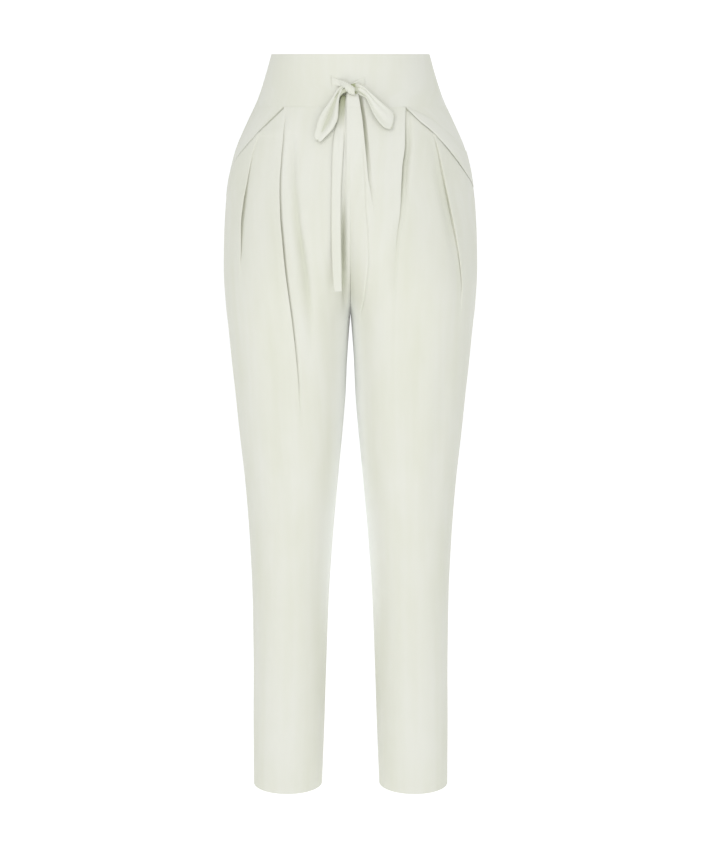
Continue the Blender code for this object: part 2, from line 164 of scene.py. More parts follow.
weaveLook = {
    "wander": (0.09, 3.0, 9.0),  # the noise's scale and detail, and how far the threads wander
    "pebbles": (0.35, 2.0),  # the noise's scale and detail
    "crossing": 0.3,  # how high the crossing threads stand beside the pebbles
    "clouds": (  # share of the length kept, the noise's scale and detail: broad clouds, then streaks
        (0.4, 16.0, 3.0), (0.04, 75.0, 3.0),
    ),
    "streaks": 0.3,  # how much the streaks count beside the clouds
}


def addNode(tree, kind, inputs, **settings):
    node = tree.nodes.new(kind)
    for name, value in settings.items():
        setattr(node, name, value)
    setInputs(tree, node, inputs)
    return node


def mathNode(tree, kind, operation, *inputs):
    return addNode(tree, "ShaderNode" + kind, dict(enumerate(inputs)), operation=operation).outputs[0]


def scaleNode(tree, source, scale):
    return addNode(tree, "ShaderNodeVectorMath", {0: source, "Scale": scale}, operation="SCALE").outputs[0]


def noiseNode(tree, source, scale, detail):
    return addNode(tree, "ShaderNodeTexNoise", {"Vector": source, "Scale": scale, "Detail": detail}).outputs


def mixNode(tree, kind, factor, first, second):
    node = addNode(tree, "ShaderNodeMix", {"Factor": factor, "A": first, "B": second}, data_type=kind)
    return node.outputs["Result"]


def spreadNode(tree, source, fromLow, fromHigh, toLow, toHigh):
    ends = {"Value": source, "From Min": fromLow, "From Max": fromHigh, "To Min": toLow, "To Max": toHigh}
    return addNode(tree, "ShaderNodeMapRange", ends).outputs["Result"]


def crepeWeave():
    # twisted threads that cross, on coordinates in metres, with pebbles, clouds and lengthwise streaks
    group = bpy.data.node_groups.new("crepeWeave", "ShaderNodeTree")
    for name, way, kind in (("Place", "INPUT", "Vector"), ("Pitch", "INPUT", "Float"),
                            ("Height", "OUTPUT", "Float"), ("Cloud", "OUTPUT", "Float")):
        group.interface.new_socket(name, in_out=way, socket_type="NodeSocket" + kind)
    take, give = group.nodes.new("NodeGroupInput"), group.nodes.new("NodeGroupOutput")
    place = take.outputs["Place"]
    scaled = scaleNode(group, place, mathNode(group, "Math", "DIVIDE", 2 * pi, take.outputs["Pitch"]))
    scale, detail, far = weaveLook["wander"]
    shift = scaleNode(group, noiseNode(group, scaled, scale, detail)["Color"], far)
    moved = mathNode(group, "VectorMath", "ADD", scaled, shift)
    parts = addNode(group, "ShaderNodeSeparateXYZ", {0: moved}).outputs
    waves = [mathNode(group, "Math", "SINE", parts[axis]) for axis in ("X", "Y")]
    cross = mathNode(group, "Math", "MULTIPLY", *waves)
    pebbles = noiseNode(group, scaled, *weaveLook["pebbles"])["Fac"]
    height = mathNode(group, "Math", "MULTIPLY_ADD", cross, weaveLook["crossing"], pebbles)
    noises = []
    for lengthwise, scale, detail in weaveLook["clouds"]:
        drawn = mathNode(group, "VectorMath", "MULTIPLY", place, (1, lengthwise, 1))
        noises.append(noiseNode(group, drawn, scale, detail)["Fac"])
    cloud = mixNode(group, "FLOAT", weaveLook["streaks"], *noises)
    setInputs(group, give, {"Height": height, "Cloud": cloud})
    return group


weave = crepeWeave()


def clothFinish(name, pitch, relief, roughness, sheen, lift):
    finish = bpy.data.materials.new(name)
    finish.use_nodes = True
    tree = finish.node_tree
    place = addNode(tree, "ShaderNodeUVMap", {}, uv_map="cloth").outputs["UV"]
    threads = addNode(tree, "ShaderNodeGroup", {}, node_tree=weave)
    setInputs(tree, threads, {"Place": place, "Pitch": pitch * mm})
    height, cloud = threads.outputs["Height"], threads.outputs["Cloud"]
    deep, light = ([c + lift for c in crepeLook[end][:3]] + [1] for end in ("deep", "light"))
    colour = mixNode(tree, "RGBA", spreadNode(tree, cloud, *crepeLook["cloudSpread"]), deep, light)
    # painted light and shade from each point's attribute: towards the pale colour above 0, towards the
    # shade colour below
    paintedLightAndShade = addNode(tree, "ShaderNodeAttribute", {}, attribute_name="paintedLightAndShade").outputs["Fac"]
    for look, end in (("pale", 1.0), ("shade", -1.0)):
        colour = mixNode(tree, "RGBA", spreadNode(tree, paintedLightAndShade, 0.0, end, 0.0, 1.0), colour, crepeLook[look])
    stray = crepeLook["unevenGloss"]
    bump = {"Height": height, "Strength": crepeLook["bump"], "Distance": relief * mm}
    setInputs(tree, tree.nodes["Principled BSDF"], {
        "Base Color": colour,
        "Roughness": spreadNode(tree, height, 0.0, 1.0, roughness + stray, roughness - stray),
        "Normal": addNode(tree, "ShaderNodeBump", bump).outputs["Normal"],
        "Specular IOR Level": crepeLook["specular"],
        "Sheen Weight": sheen,
        "Sheen Roughness": crepeLook["sheenRoughness"],
    })
    return finish


finishes = {finish: clothFinish(*look) for finish, look in finishLooks.items()}
print("finishes made")

# the plain form that every panel lies on

bodyForm = {
    "waistSeam": -0.069,
    "crotch": -0.355,
    "hem": -1.05,
    "seamGap": 0.005 * mm,
    "squarer": (0.6, -0.75, 0.35),  # how much squarer inside the thighs, from where, over what height
    "roundness": 0.125,  # mean radius of the front, which turns a short way round into an angle
    "sections": (  # z, half width at the side seam, depth of the front, depth of the back, in mm
        (0, 107.8, 90, 90), (-30, 116.5, 92, 94), (-60, 126.8, 97, 100), (-90, 141, 102.5, 107),
        (-130, 158.4, 108, 115), (-170, 168.2, 113.5, 121), (-210, 173, 118, 124.5),
        (-250, 175.3, 120, 124), (-295, 176.3, 119, 119), (-340, 174.3, 114, 110), (-380, 170.4, 108, 101),
        (-420, 167, 102, 94), (-470, 162, 96, 88), (-520, 157.5, 90, 84), (-600, 149.5, 80, 76),
        (-680, 144.2, 72, 69), (-770, 141, 64, 64), (-860, 140.5, 57, 60), (-950, 141.5, 52, 57),
        (-1050, 142, 47, 54),
    ),
    "inseam": (  # z, x
        (-355, 0), (-380, 2), (-400, 3.5), (-420, 4.8), (-470, 7), (-520, 11), (-600, 18.5), (-680, 25.5),
        (-770, 31.5), (-860, 35), (-950, 38), (-1050, 42),
    ),
    "parting": {  # z, how far the two leg tubes have parted above the crotch
        front: ((-80, 0), (-110, 0.03), (-150, 0.10), (-200, 0.25), (-250, 0.50), (-300, 0.78),
                (-330, 0.93), (-345, 0.98), (-355, 1)),
        back: ((-130, 0), (-170, 0.03), (-210, 0.09), (-250, 0.22), (-280, 0.42), (-310, 0.70),
               (-330, 0.88), (-345, 0.975), (-355, 1)),
    },
}


def blend(start, end, leaving, arriving, s):
    # a smooth way from start to end, with the slope at each
    first = start * (1 + 2 * s) * (1 - s) ** 2 + leaving * s * (1 - s) ** 2
    return first + (end * s * s * (3 - 2 * s) + arriving * s * s * (s - 1))


def along(rows, z, column=1):
    # a smooth curve through one column of a table, with no overshoot
    rows = np.array(rows, float)[::-1]
    heights, values = rows[:, 0] * mm, rows[:, column]
    step = np.diff(heights)
    slope = np.diff(values) / step
    tangent = np.empty(len(heights))
    tangent[0], tangent[-1] = slope[0], slope[-1]
    before, after = slope[:-1], slope[1:]
    level = before * after <= 0
    heavy, light = 2 * step[1:] + step[:-1], step[1:] + 2 * step[:-1]
    mean = heavy / np.where(level, 1, before) + light / np.where(level, 1, after)
    tangent[1:-1] = np.where(level, 0, (heavy + light) / np.where(level, 1, mean))
    z = np.clip(np.asarray(z, float), heights[0], heights[-1])
    i = np.clip(np.searchsorted(heights, z) - 1, 0, len(heights) - 2)
    s = (z - heights[i]) / step[i]
    return blend(values[i], values[i + 1], tangent[i] * step[i], tangent[i + 1] * step[i], s)


def ease(t):
    t = np.clip(t, 0, 1)
    return t * t * (3 - 2 * t)


def hump(off, width, power=2):
    # 1 on a line, and less and less beside it
    return np.exp(-((off / width) ** power))


def between(z, top, under, foot, above):
    # 1 between two heights, fading over some way below the top and above the foot
    return ease((top - z) / under) * ease((z - foot) / above)


def legOval(face, z):
    z = np.asarray(z, float)
    outer = along(bodyForm["sections"], z, 1) * mm
    depth = along(bodyForm["sections"], z, 2 if face == front else 3) * mm
    inner = along(bodyForm["inseam"], z) * mm
    parted = along(bodyForm["parting"][face], z)
    above = z > bodyForm["crotch"]
    half = np.where(above, outer / (1 + parted), (outer - inner) / 2)
    centre = np.where(above, parted * half, (outer + inner) / 2)
    squarer, start, over = bodyForm["squarer"]
    power = 2 + squarer * parted * np.clip((z - start) / over, 0, 1)
    return centre, half, depth, power


def bodyPoint(side, face, angle, z):
    centre, half, depth, power = legOval(face, z)
    c, s = np.cos(angle), np.sin(angle)
    p = np.where(c < 0, 2 / power, 1)
    x = centre + half * np.sign(c) * np.abs(c) ** p
    y = depth * np.abs(s) ** p
    x, y, z = np.broadcast_arrays(x, y, z)
    gap = bodyForm["seamGap"]
    return np.stack([side * (x + gap), face * (y + gap), z], -1)


def bodyNormal(side, face, angle, z):
    angle, z = np.broadcast_arrays(np.asarray(angle, float), np.asarray(z, float))
    e = 1e-4
    low, high = np.clip(angle - e, 0, np.pi), np.clip(angle + e, 0, np.pi)
    across = bodyPoint(side, face, high, z) - bodyPoint(side, face, low, z)
    up = bodyPoint(side, face, angle, z + e) - bodyPoint(side, face, angle, z - e)
    n = np.cross(across, up) * (side * face)
    n[..., 2] = np.clip(n[..., 2], -abs(n[..., :2]).sum(-1), abs(n[..., :2]).sum(-1))
    return n / np.linalg.norm(n, axis=-1, keepdims=True)


def angleAt(face, x, z):
    centre, half, depth, power = legOval(face, z)
    r = np.clip((x - centre) / half, -1, 1)
    return np.arccos(np.where(r < 0, -np.abs(r) ** (power / 2), r))


def centreAngle(face, z):
    return np.where(np.asarray(z) > bodyForm["crotch"], angleAt(face, 0, z), np.pi)


def lineAngle(rows, z, shift=0):
    return angleAt(front, along(rows, z) * mm + shift, z)


def frontY(x, z):
    # y of the plain front
    x, z = np.broadcast_arrays(np.asarray(x, float), np.asarray(z, float))
    return bodyPoint(left, front, angleAt(front, np.abs(x), z), z)[..., 1]


# thin cloth from grids of points

creaseShadeLook = {"paintedLightAndShade": -0.3, "depth": 7.5 * mm}  # painted shade: how dark the deepest creases are painted, and how deep they lie


def gridNormal(grid, like):
    n = np.cross(np.gradient(grid, axis=1), np.gradient(grid, axis=0))
    size = np.linalg.norm(n, axis=-1, keepdims=True)
    n = n / np.where(size < 1e-12, 1, size)
    return n if (n * like).sum() > 0 else -n


def runLength(grid, axis):
    # how far along its own line each point of a grid lies
    steps = np.linalg.norm(np.diff(grid, axis=axis), axis=-1)
    return np.insert(steps.cumsum(axis), 0, 0, axis)


def clothPiece(name, outer, inner, finish, node, paintedLightAndShade):
    # one closed cloth between an outer and an inner grid, with a rounded rim
    rows, columns = outer.shape[:2]
    count = rows * columns
    number = np.arange(count).reshape(rows, columns)
    ring = np.concatenate([number[0], number[1:, -1], number[-1, -2::-1], number[-2:0:-1, 0]])
    flatOuter, flatInner = outer.reshape(-1, 3), inner.reshape(-1, 3)
    points = np.concatenate([flatOuter, flatInner, (flatOuter[ring] + flatInner[ring]) / 2])
    a, b = number[:-1, :-1].ravel(), number[1:, :-1].ravel()
    middle = 2 * count + np.arange(len(ring))
    ringNext, middleNext = np.roll(ring, -1), np.roll(middle, -1)
    faces = np.concatenate([
        np.stack([a, a + 1, b + 1, b], 1),
        np.stack([count + a, count + b, count + b + 1, count + a + 1], 1),
        np.stack([ringNext, ring, middle, middleNext], 1),
        np.stack([middleNext, middle, count + ring, count + ringNext], 1),
    ])
    p, q, r, s = points[faces].transpose(1, 0, 2)
    if np.einsum("ij,ij->", p, np.cross(q, r) + np.cross(r, s)) < 0:
        faces = faces[:, ::-1]
    across, down = runLength(outer, 1), runLength(outer, 0)
    centre = slice(columns // 2, columns // 2 + 1)
    uv = np.stack([across - across[:, centre], -down[:, centre] + 0 * across], -1).reshape(-1, 2)
    piece = meshPiece(name, points, faces.tolist(), finish, node, np.concatenate([uv, uv, uv[ring]]))
    # per point, painted light (above 0) and painted shade (below 0) for the finish
    shade = piece.data.attributes.new("paintedLightAndShade", "FLOAT", "POINT")
    paintedLightAndShade = paintedLightAndShade.ravel()
    shade.data.foreach_set("value", np.concatenate([paintedLightAndShade, paintedLightAndShade, paintedLightAndShade[ring]]).astype(np.float32))
    return piece


def meshPiece(name, points, faces, finish, node, uv):
    mesh = smoothMesh(name, np.asarray(points).tolist(), faces)
    layer = mesh.uv_layers.new(name="cloth")
    corner = np.empty(len(mesh.loops), np.int32)
    mesh.loops.foreach_get("vertex_index", corner)
    layer.data.foreach_set("uv", np.asarray(uv)[corner].astype(np.float32).ravel())
    mesh.update()
    piece = addObject(name, mesh)
    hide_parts(node)
    return finished(piece, finish)


def finished(piece, finish):
    piece.data.materials.append(finishes[finish])
    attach(piece, "root")
    return piece


def places(start, even, end=()):
    # places on the way from edge to edge, closer together near an edge; even is from, to and how many
    return np.concatenate([start, np.linspace(*even), end])


def paintedCreaseShade(height):
    # painted shade: the deeper the cloth lies, the darker it is painted
    return creaseShadeLook["paintedLightAndShade"] * ease(-height / creaseShadeLook["depth"])


def rollIn(distance, radius, depth):
    # how far cloth sinks as it nears its own edge
    t = np.clip(1 - distance / radius, 0, 1)
    return -depth * (1 - np.sqrt(np.clip(1 - t * t, 0, 1)))


# creases and pleats

seams = {
    "plain": (0.7 * mm, 0.2 * mm),  # radius and depth of the roll at a pressed seam
    "middle": (0.4 * mm, 0.04 * mm),
    "waist": (0.5 * mm, 0.05 * mm),
    "hem": (0.9 * mm, 0.4 * mm),
    "inner": 12 * mm,  # folds fade out this near to a seam
    "fadeFrom": (0.02, 0.03),  # above the crotch, and over what height
}
pocketEdge = {  # z, x in mm
    right: ((-69, 86), (-80, 97.6), (-92, 110.5), (-104.8, 123.4), (-121.7, 139.6), (-137.7, 153.1),
            (-146, 158.6), (-153.8, 162.8), (-160, 165.2), (-166, 167.1), (-172, 168.6)),
    left: ((-69, 74.5), (-76.4, 81.3), (-87.7, 93), (-100.5, 108.5), (-110.8, 119), (-128.8, 134.9),
           (-149.9, 151.2), (-169.1, 164.3), (-180.4, 169.9)),
}
weltEdge = ((-69, 77), (-72.5, 82), (-75.2, 87.8), (-83, 103.4), (-98.6, 124.6), (-111.9, 140.8),
            (-131, 158.8))
edgePoints = 160  # places on such an edge that distances are measured to
edgeHeights = 500  # heights at which a column is looked for below it

# A pleat's line is where it folds: z, x. Its rows are z, how high the upper cloth stands, how low the
# lower cloth lies beside it, how deep the groove between them is and how far it runs under. turned is 1
# where the cloth towards the side seam lies on top, and -1 where the cloth towards the middle does. rise
# and fall are how far the upper and the lower cloth take to come back to the plain form. gape is how the
# groove opens on the lower cloth: place, share of its depth. valley is that cloth's own way back.
closeGape = ((0, 0.74), (-0.9, 0.42), (-1.8, 0.14), (-2.8, 0))
pleats = {
    right: (
        {
            "turned": 1, "rise": 16, "fall": 17,
            "gape": closeGape,
            "line": ((-104.8, 121.8), (-123.6, 128.6), (-141.3, 132.9), (-163.9, 137.6), (-197.2, 143.6),
                     (-226.4, 146.9), (-259.7, 147.5), (-285.2, 148.4), (-330, 147), (-400, 141),
                     (-520, 131), (-700, 121), (-1050, 122)),
            "rows": ((-104.8, 0.5, 0.3, 0.3, 0.8), (-130, 0.6, 0.6, 0.3, 1), (-160, 0.8, 0.9, 0.3, 1.5),
                     (-175, 1.1, 1.2, 0.5, 2), (-190, 1.6, 1.8, 1.0, 3), (-215, 1.8, 2.0, 1.0, 3),
                     (-240, 1.3, 1.3, 0.6, 2), (-265, 0.8, 0.8, 0.2, 1), (-290, 0.4, 0.4, 0, 0.4),
                     (-320, 0, 0, 0, 0)),
        },
        {
            "turned": 1, "rise": 24, "fall": 7,
            "gape": closeGape,
            "line": ((-69, 85), (-100, 88), (-137.2, 91.8), (-174.3, 93.8), (-211.5, 92.9), (-241.5, 90.4),
                     (-281.1, 86.8), (-311.9, 83.2), (-350.3, 78.5), (-407.4, 72.9), (-499.3, 66.7),
                     (-560, 63), (-700, 62), (-1050, 70)),
            "rows": ((-69, 0.5, 0.3, 0.4, 1.0), (-100, 0.8, 0.5, 0.8, 2), (-140, 1.1, 0.7, 1.0, 2.5),
                     (-180, 1.4, 0.9, 1.1, 3), (-205, 1.7, 1.1, 1.6, 3.5), (-235, 2.0, 1.3, 2.0, 4),
                     (-290, 2.0, 1.3, 2.0, 4), (-330, 1.8, 1.2, 1.7, 3.5), (-370, 1.6, 1.1, 1.5, 3),
                     (-410, 1.2, 0.9, 1.0, 2.2), (-450, 0.8, 0.6, 0.5, 1.3), (-490, 0.35, 0.3, 0.1, 0.5),
                     (-530, 0, 0, 0, 0)),
        },
    ),
    left: (
        {
            "turned": 1, "rise": 14, "fall": 13,
            "gape": ((0, 0.85), (-1.2, 0.6), (-2.4, 0.2), (-3.6, 0)),
            "line": ((-105.5, 111.1), (-128.1, 117.6), (-153.1, 122.7), (-183.3, 129.1), (-213.6, 135.8),
                     (-244.2, 142.4), (-277.8, 148), (-311.3, 151.1), (-350, 150), (-420, 143), (-520, 132),
                     (-700, 121), (-1050, 122)),
            "rows": ((-104.8, 0.6, 0.5, 0, 0.5), (-130, 1.2, 1.4, 0, 0.8), (-150, 1.6, 1.8, 0.2, 1),
                     (-165, 1.7, 1.9, 0.3, 1.5), (-180, 1.8, 2.1, 0.6, 2.5), (-195, 1.9, 2.4, 0.7, 2.8),
                     (-215, 1.6, 2.7, 0.4, 2), (-240, 1.2, 2.4, 0.1, 1), (-265, 0.9, 1.8, 0, 0.6),
                     (-290, 0.7, 1.3, 0, 0.3), (-330, 0.4, 0.7, 0, 0.2), (-370, 0.1, 0.2, 0, 0),
                     (-400, 0, 0, 0, 0)),
            "valley": ((0, 0.72), (2, 0.92), (4, 1), (7, 0.92), (10, 0.6), (14, 0.15), (18, 0)),
        },
        {
            "turned": -1, "rise": 16, "fall": 24,
            "gape": ((0, 0.95), (-1.7, 0.75), (-3.3, 0.28), (-4.8, 0)),
            "line": ((-69, 73.5), (-99.7, 72.4), (-117, 72.3), (-149.1, 68.6), (-178.7, 67.2), (-205.9, 66),
                     (-235.7, 62.2), (-265.9, 59.8), (-312, 57.6), (-350.7, 55.7), (-420, 56), (-540, 58),
                     (-700, 62), (-1050, 70)),
            "rows": ((-69, 0.6, 1.2, 1.6, 2), (-80, 0.8, 1.4, 1.6, 2.5), (-100, 1.0, 2.6, 2.2, 3),
                     (-120, 1.2, 4.0, 2.8, 4), (-140, 1.2, 4.6, 2.8, 4), (-160, 1.1, 4.2, 2.6, 3.5),
                     (-180, 0.9, 2.8, 1.8, 2.5), (-200, 0.6, 1.8, 1.0, 1.5), (-230, 0.4, 1.0, 0.2, 0.6),
                     (-260, 0.2, 0.8, 0, 0.3), (-290, 0.1, 0.5, 0, 0), (-320, 0, 0.2, 0, 0),
                     (-350, 0, 0, 0, 0)),
            "valley": ((0, 1), (3, 0.84), (5, 0.88), (6.6, 0.95), (8.8, 0.35), (11, -0.10), (14, -0.14),
                       (24, 0)),
        },
    ),
}
# the pucker under the knot, which ends in a deep fold on the wearer's left
pucker = {
    "turned": -1, "fall": 9, "flank": (-6.8, -4.4),
    "gape": ((0, 0.98), (-2.6, 0.94), (-4.2, 0.4), (-5.6, 0)),
    "line": ((-44, 8.8), (-50, 9.8), (-55.7, 11.0), (-70, 13.4), (-85.6, 15.8), (-111.6, 18.6),
             (-137.6, 21.4), (-163.6, 24.2), (-183.2, 27.8), (-230, 33), (-300, 32), (-355, 27), (-420, 28),
             (-520, 31), (-770, 43), (-1050, 51)),
    "rows": ((-44, 0, 0, 0, 0), (-48, 1.0, 0.7, 0.5, 1), (-52, 2.0, 1.4, 2.2, 1.8), (-57, 3.2, 2.2, 4.8, 3),
             (-70, 3.6, 2.4, 5.4, 4), (-90, 3.4, 2.2, 5.0, 4), (-115, 2.7, 1.9, 3.8, 3.6),
             (-140, 1.8, 1.5, 2.2, 2.6), (-160, 1.1, 1.1, 1.2, 1.6), (-180, 0.7, 0.8, 0.7, 1),
             (-200, 0.35, 0.5, 0.3, 0.5), (-222, 0, 0, 0, 0)),
}
# Soft folds, each with a line of z, x, its depth at some heights in mm, and its width towards the middle
# and towards the side
softFolds = {
    (right, front): (
        {"line": ((-112, 77.6), (-137, 77.0), (-163.5, 76.2), (-190, 73.8), (-223, 69.6), (-256, 64.2),
                  (-289, 59.2), (-322, 56.0), (-360, 54), (-430, 52), (-770, 52), (-1050, 58)),
         "depth": ((-100, 0), (-125, 2.0), (-163, 3.4), (-190, 3.7), (-223, 4.3), (-256, 5.6), (-289, 5.2),
                   (-322, 4.0), (-360, 2.0), (-420, 0)),
         "widths": (5.2, 7.5)},
        {"line": ((-150, 9.5), (-210, 9.0), (-243, 8.8), (-275, 7.8), (-303, 6.0), (-322, 5.2), (-355, 8),
                  (-400, 11), (-520, 19), (-770, 38), (-1050, 46)),
         "depth": ((-150, 0), (-180, 1.8), (-205, 4.4), (-240, 7.6), (-275, 8.6), (-303, 7.4), (-325, 4.6),
                   (-345, 1.5), (-355, 0)),
         "widths": (3.4, 4.2)},
        {"line": ((-330, 112), (-420, 108), (-560, 100), (-700, 96)),
         "depth": ((-330, 0), (-430, 0.9), (-560, 1.1), (-700, 0)),
         "widths": (14, 12)},
        {"line": ((-560, 74), (-700, 80), (-900, 88), (-1050, 92)),
         "depth": ((-520, 0), (-640, 0.9), (-820, 1.0), (-1000, 0.4), (-1050, 0.2)),
         "widths": (12, 16)},
    ),
    (left, front): (
        {"line": ((-215, 64), (-240, 61.8), (-265.9, 59.4), (-312, 56.8), (-350, 55)),
         "depth": ((-195, 0), (-230, 2.2), (-275, 2.4), (-330, 1.2), (-385, 0)),
         "widths": (6.5, 4)},
        {"line": ((-340, 140), (-390, 134), (-470, 126), (-560, 117), (-690, 106)),
         "depth": ((-330, 0), (-390, 1.1), (-480, 1.5), (-580, 1.3), (-690, 0)),
         "widths": (13, 9)},
        {"line": ((-300, 92), (-400, 88), (-520, 82), (-640, 78)),
         "depth": ((-290, 0), (-380, 0.8), (-500, 0.9), (-640, 0)),
         "widths": (14, 14)},
        {"line": ((-640, 84), (-800, 90), (-1050, 92)),
         "depth": ((-620, 0), (-780, 0.9), (-980, 0.5), (-1050, 0.2)),
         "widths": (15, 12)},
    ),
    (right, back): (
        {"line": ((-90, 62), (-180, 70), (-300, 74)),
         "depth": ((-80, 0), (-140, 2.2), (-220, 2.7), (-310, 0)),
         "widths": (9, 14)},
        {"line": ((-330, 40), (-400, 66), (-470, 96)),
         "depth": ((-325, 0), (-370, 3.6), (-430, 2.9), (-490, 0)),
         "widths": (9, 16)},
        {"line": ((-420, 84), (-600, 88), (-800, 92)),
         "depth": ((-400, 0), (-560, 2.9), (-700, 2.2), (-860, 0)),
         "widths": (10, 15)},
        {"line": ((-600, 112), (-760, 104), (-960, 98)),
         "depth": ((-580, 0), (-740, 1.8), (-900, 1.4), (-1040, 0)),
         "widths": (11, 9)},
    ),
    (left, back): (
        {"line": ((-100, 70), (-200, 62), (-290, 66)),
         "depth": ((-90, 0), (-160, 2.5), (-230, 2.2), (-300, 0)),
         "widths": (12, 10)},
        {"line": ((-325, 34), (-385, 60), (-450, 98)),
         "depth": ((-320, 0), (-365, 3.1), (-420, 3.4), (-480, 0)),
         "widths": (8, 15)},
        {"line": ((-450, 94), (-620, 84), (-780, 86)),
         "depth": ((-430, 0), (-540, 2.3), (-680, 2.9), (-820, 0)),
         "widths": (14, 10)},
        {"line": ((-640, 70), (-800, 80), (-1000, 86)),
         "depth": ((-620, 0), (-780, 1.6), (-930, 2), (-1045, 0)),
         "widths": (9, 12)},
    ),
}
flyStitch = {  # z, x
    "line": ((-69, 12), (-98.6, 15.4), (-137.6, 17.8), (-168.8, 19.7), (-200.2, 20.5), (-231.9, 23),
             (-272.2, 23.9), (-296.9, 21.5), (-327.7, 17.7), (-349.4, 13.7), (-400, 16), (-520, 24),
             (-770, 40), (-1050, 48)),
    "top": -112, "foot": -351, "groove": 0.8, "width": 0.9, "pitch": 2.9, "stitch": 2.1, "thread": 0.42,
    "proud": 0.08, "dip": 0.18,  # how far a stitch's middle stands off the groove, and its ends sink
    "fades": (15, 4),  # over how much of its length the groove begins and ends
    "inset": (4, 3),  # how far inside the groove's ends the stitches begin and end
    "beside": 1.2,  # how far beside it the next columns stand
    "clear": 5.4,  # how far all of them stand off the deep fold
}


def softHeight(side, face, x, z):
    height = np.zeros(np.broadcast(x, z).shape)
    for fold in softFolds[side, face]:
        off = x - along(fold["line"], z) * mm
        width = np.where(off < 0, *fold["widths"]) * mm
        height = height - along(fold["depth"], z) * mm * hump(off, width)
    if (side, face) == (left, front):
        top, foot, groove, width = (flyStitch[k] * mm for k in ("top", "foot", "groove", "width"))
        atTop, atFoot = (v * mm for v in flyStitch["fades"])
        off = x - along(flyStitch["line"], z) * mm
        height = height - groove * between(z, top, atTop, foot, atFoot) * hump(off, width)
    return height


def pleatRow(pleat, z):
    high, low, groove, under = (along(pleat["rows"], z, k) * mm for k in (1, 2, 3, 4))
    shown = z <= (pleat["rows"][0][0] + 1) * mm
    return high * shown, low * shown, groove * shown, under * shown


def lowerShare(pleat, distance):
    if "valley" in pleat:
        steps = np.array(pleat["valley"], float)
        return np.interp(distance / mm, steps[:, 0], steps[:, 1])
    return np.clip(1 - distance / (pleat["fall"] * mm), 0, 1) ** 2


def upperShare(pleat, distance, x):
    if "flank" in pleat:
        start, end = pleat["flank"]
        return ease((x / mm - start) / (end - start))
    return 1 - ease(distance / (pleat["rise"] * mm))


def pleatHeight(pleat, x, z):
    off = pleat["turned"] * (x - along(pleat["line"], z) * mm)
    high, low = pleatRow(pleat, z)[:2]
    return np.where(off > 0, high * upperShare(pleat, off, x), -low * lowerShare(pleat, -off))


foldShape = {
    "opens": (0.3 * mm, 1.5 * mm),  # from what drop cloth runs under, and over how much more it does fully
    "radius": 0.62 * mm,
    "fullDrop": 2.4 * mm,  # where the cloth drops this far, the fold has its whole radius
    "least": 0.15,  # share of the radius that a faint fold keeps
    "before": (6.0, 3.4, 1.8),  # places on the upper cloth, in radii from the fold
    "turns": (25, 60, 90, 120, 155),  # degrees round the fold
    "under": (  # share of how far it runs under, mm more, and share of the way down from the fold
        (0.5, 0, 0.35), (1, 0, 0.8), (1, -0.3, 1), (0.45, 0, 1),
    ),
    "flat": 3.7,  # how far before the line the places begin where nothing runs under, in mm
}
foldCount = len(foldShape["before"] + foldShape["turns"] + foldShape["under"] + closeGape)


def foldedAt(drop):
    start, over = foldShape["opens"]
    return ease((drop - start) / over)


def foldSteps(pleat, z):
    # from the upper cloth round the fold to the lower cloth: place towards the upper cloth, place where
    # the other folds are measured, and drop
    high, low, groove, under = pleatRow(pleat, z)
    drop = high + low
    r = foldShape["radius"] * np.clip(drop / foldShape["fullDrop"], foldShape["least"], 1)
    rest = np.maximum(drop + groove - 2 * r, 0)
    steps = []
    for radii in foldShape["before"]:
        place = radii * r
        line = along(pleat["line"], z) * mm
        share = upperShare(pleat, place, line + pleat["turned"] * place)
        steps.append((place, place, high * (1 - share)))
    for turn in foldShape["turns"]:
        steps.append((r * (1 - sin(radians(turn))), 0 * z, r * (1 - cos(radians(turn)))))
    for share, more, down in foldShape["under"]:
        steps.append((share * under + more * mm, 0 * z, 2 * r + down * rest))
    for place, share in pleat["gape"]:
        lower = low * (1 - lowerShare(pleat, -place * mm + 0 * z))
        steps.append((place * mm + 0 * z, place * mm + 0 * z, drop - lower + share * groove))
    first, last = foldShape["flat"], pleat["gape"][-1][0]
    plainDrop = drop - low * (1 - lowerShare(pleat, -last * mm + 0 * z))
    folded = foldedAt(drop)
    mixed = []
    for even, step in zip(np.linspace(first, last, foldCount) * mm, steps):
        fall = ease((first * mm - even) / ((first - last) * mm)) * plainDrop
        mixed.append([a * (1 - folded) + b * folded for a, b in zip((even, even, fall), step)])
    return mixed


hollow = {  # where the tails come out from under the knot: z, x; z, depth in mm
    "line": ((-44, -7.4), (-52, -8.6), (-62, -10.6), (-80, -12.0), (-110, -14.0), (-150, -16.0)),
    "depth": ((-40, 0), (-43, 5.0), (-47, 8.5), (-52, 7.5), (-60, 5.2), (-72, 4.2), (-92, 2.8), (-112, 1.0),
              (-130, 0)),
    "widths": (6.5, 3.6),  # towards the wearer's right and towards the middle
}


def hollowDepth(x, z):
    off = x - along(hollow["line"], z) * mm
    width = np.where(off < 0, *hollow["widths"]) * mm
    return along(hollow["depth"], z) * mm * hump(off, width, 4)


def frontHeight(side, x, z, without=None):
    # x is measured from the middle towards the panel's own side
    height = softHeight(side, front, x, z)
    for pleat in pleats[side]:
        if pleat is not without:
            height = height + pleatHeight(pleat, x, z)
    if without is not pucker:
        height = height + pleatHeight(pucker, side * x, z)
    return height - hollowDepth(side * x, z)


def shares(count, gather=0.6):
    # places between two lines, closer together near both
    t = np.arange(1, count + 1) / (count + 1)
    return t - gather * np.sin(2 * np.pi * t) / (2 * np.pi)


def foldAngle(pleat, k, z):
    return lineAngle(pleat["line"], z, pleat["turned"] * foldSteps(pleat, z)[k][0])


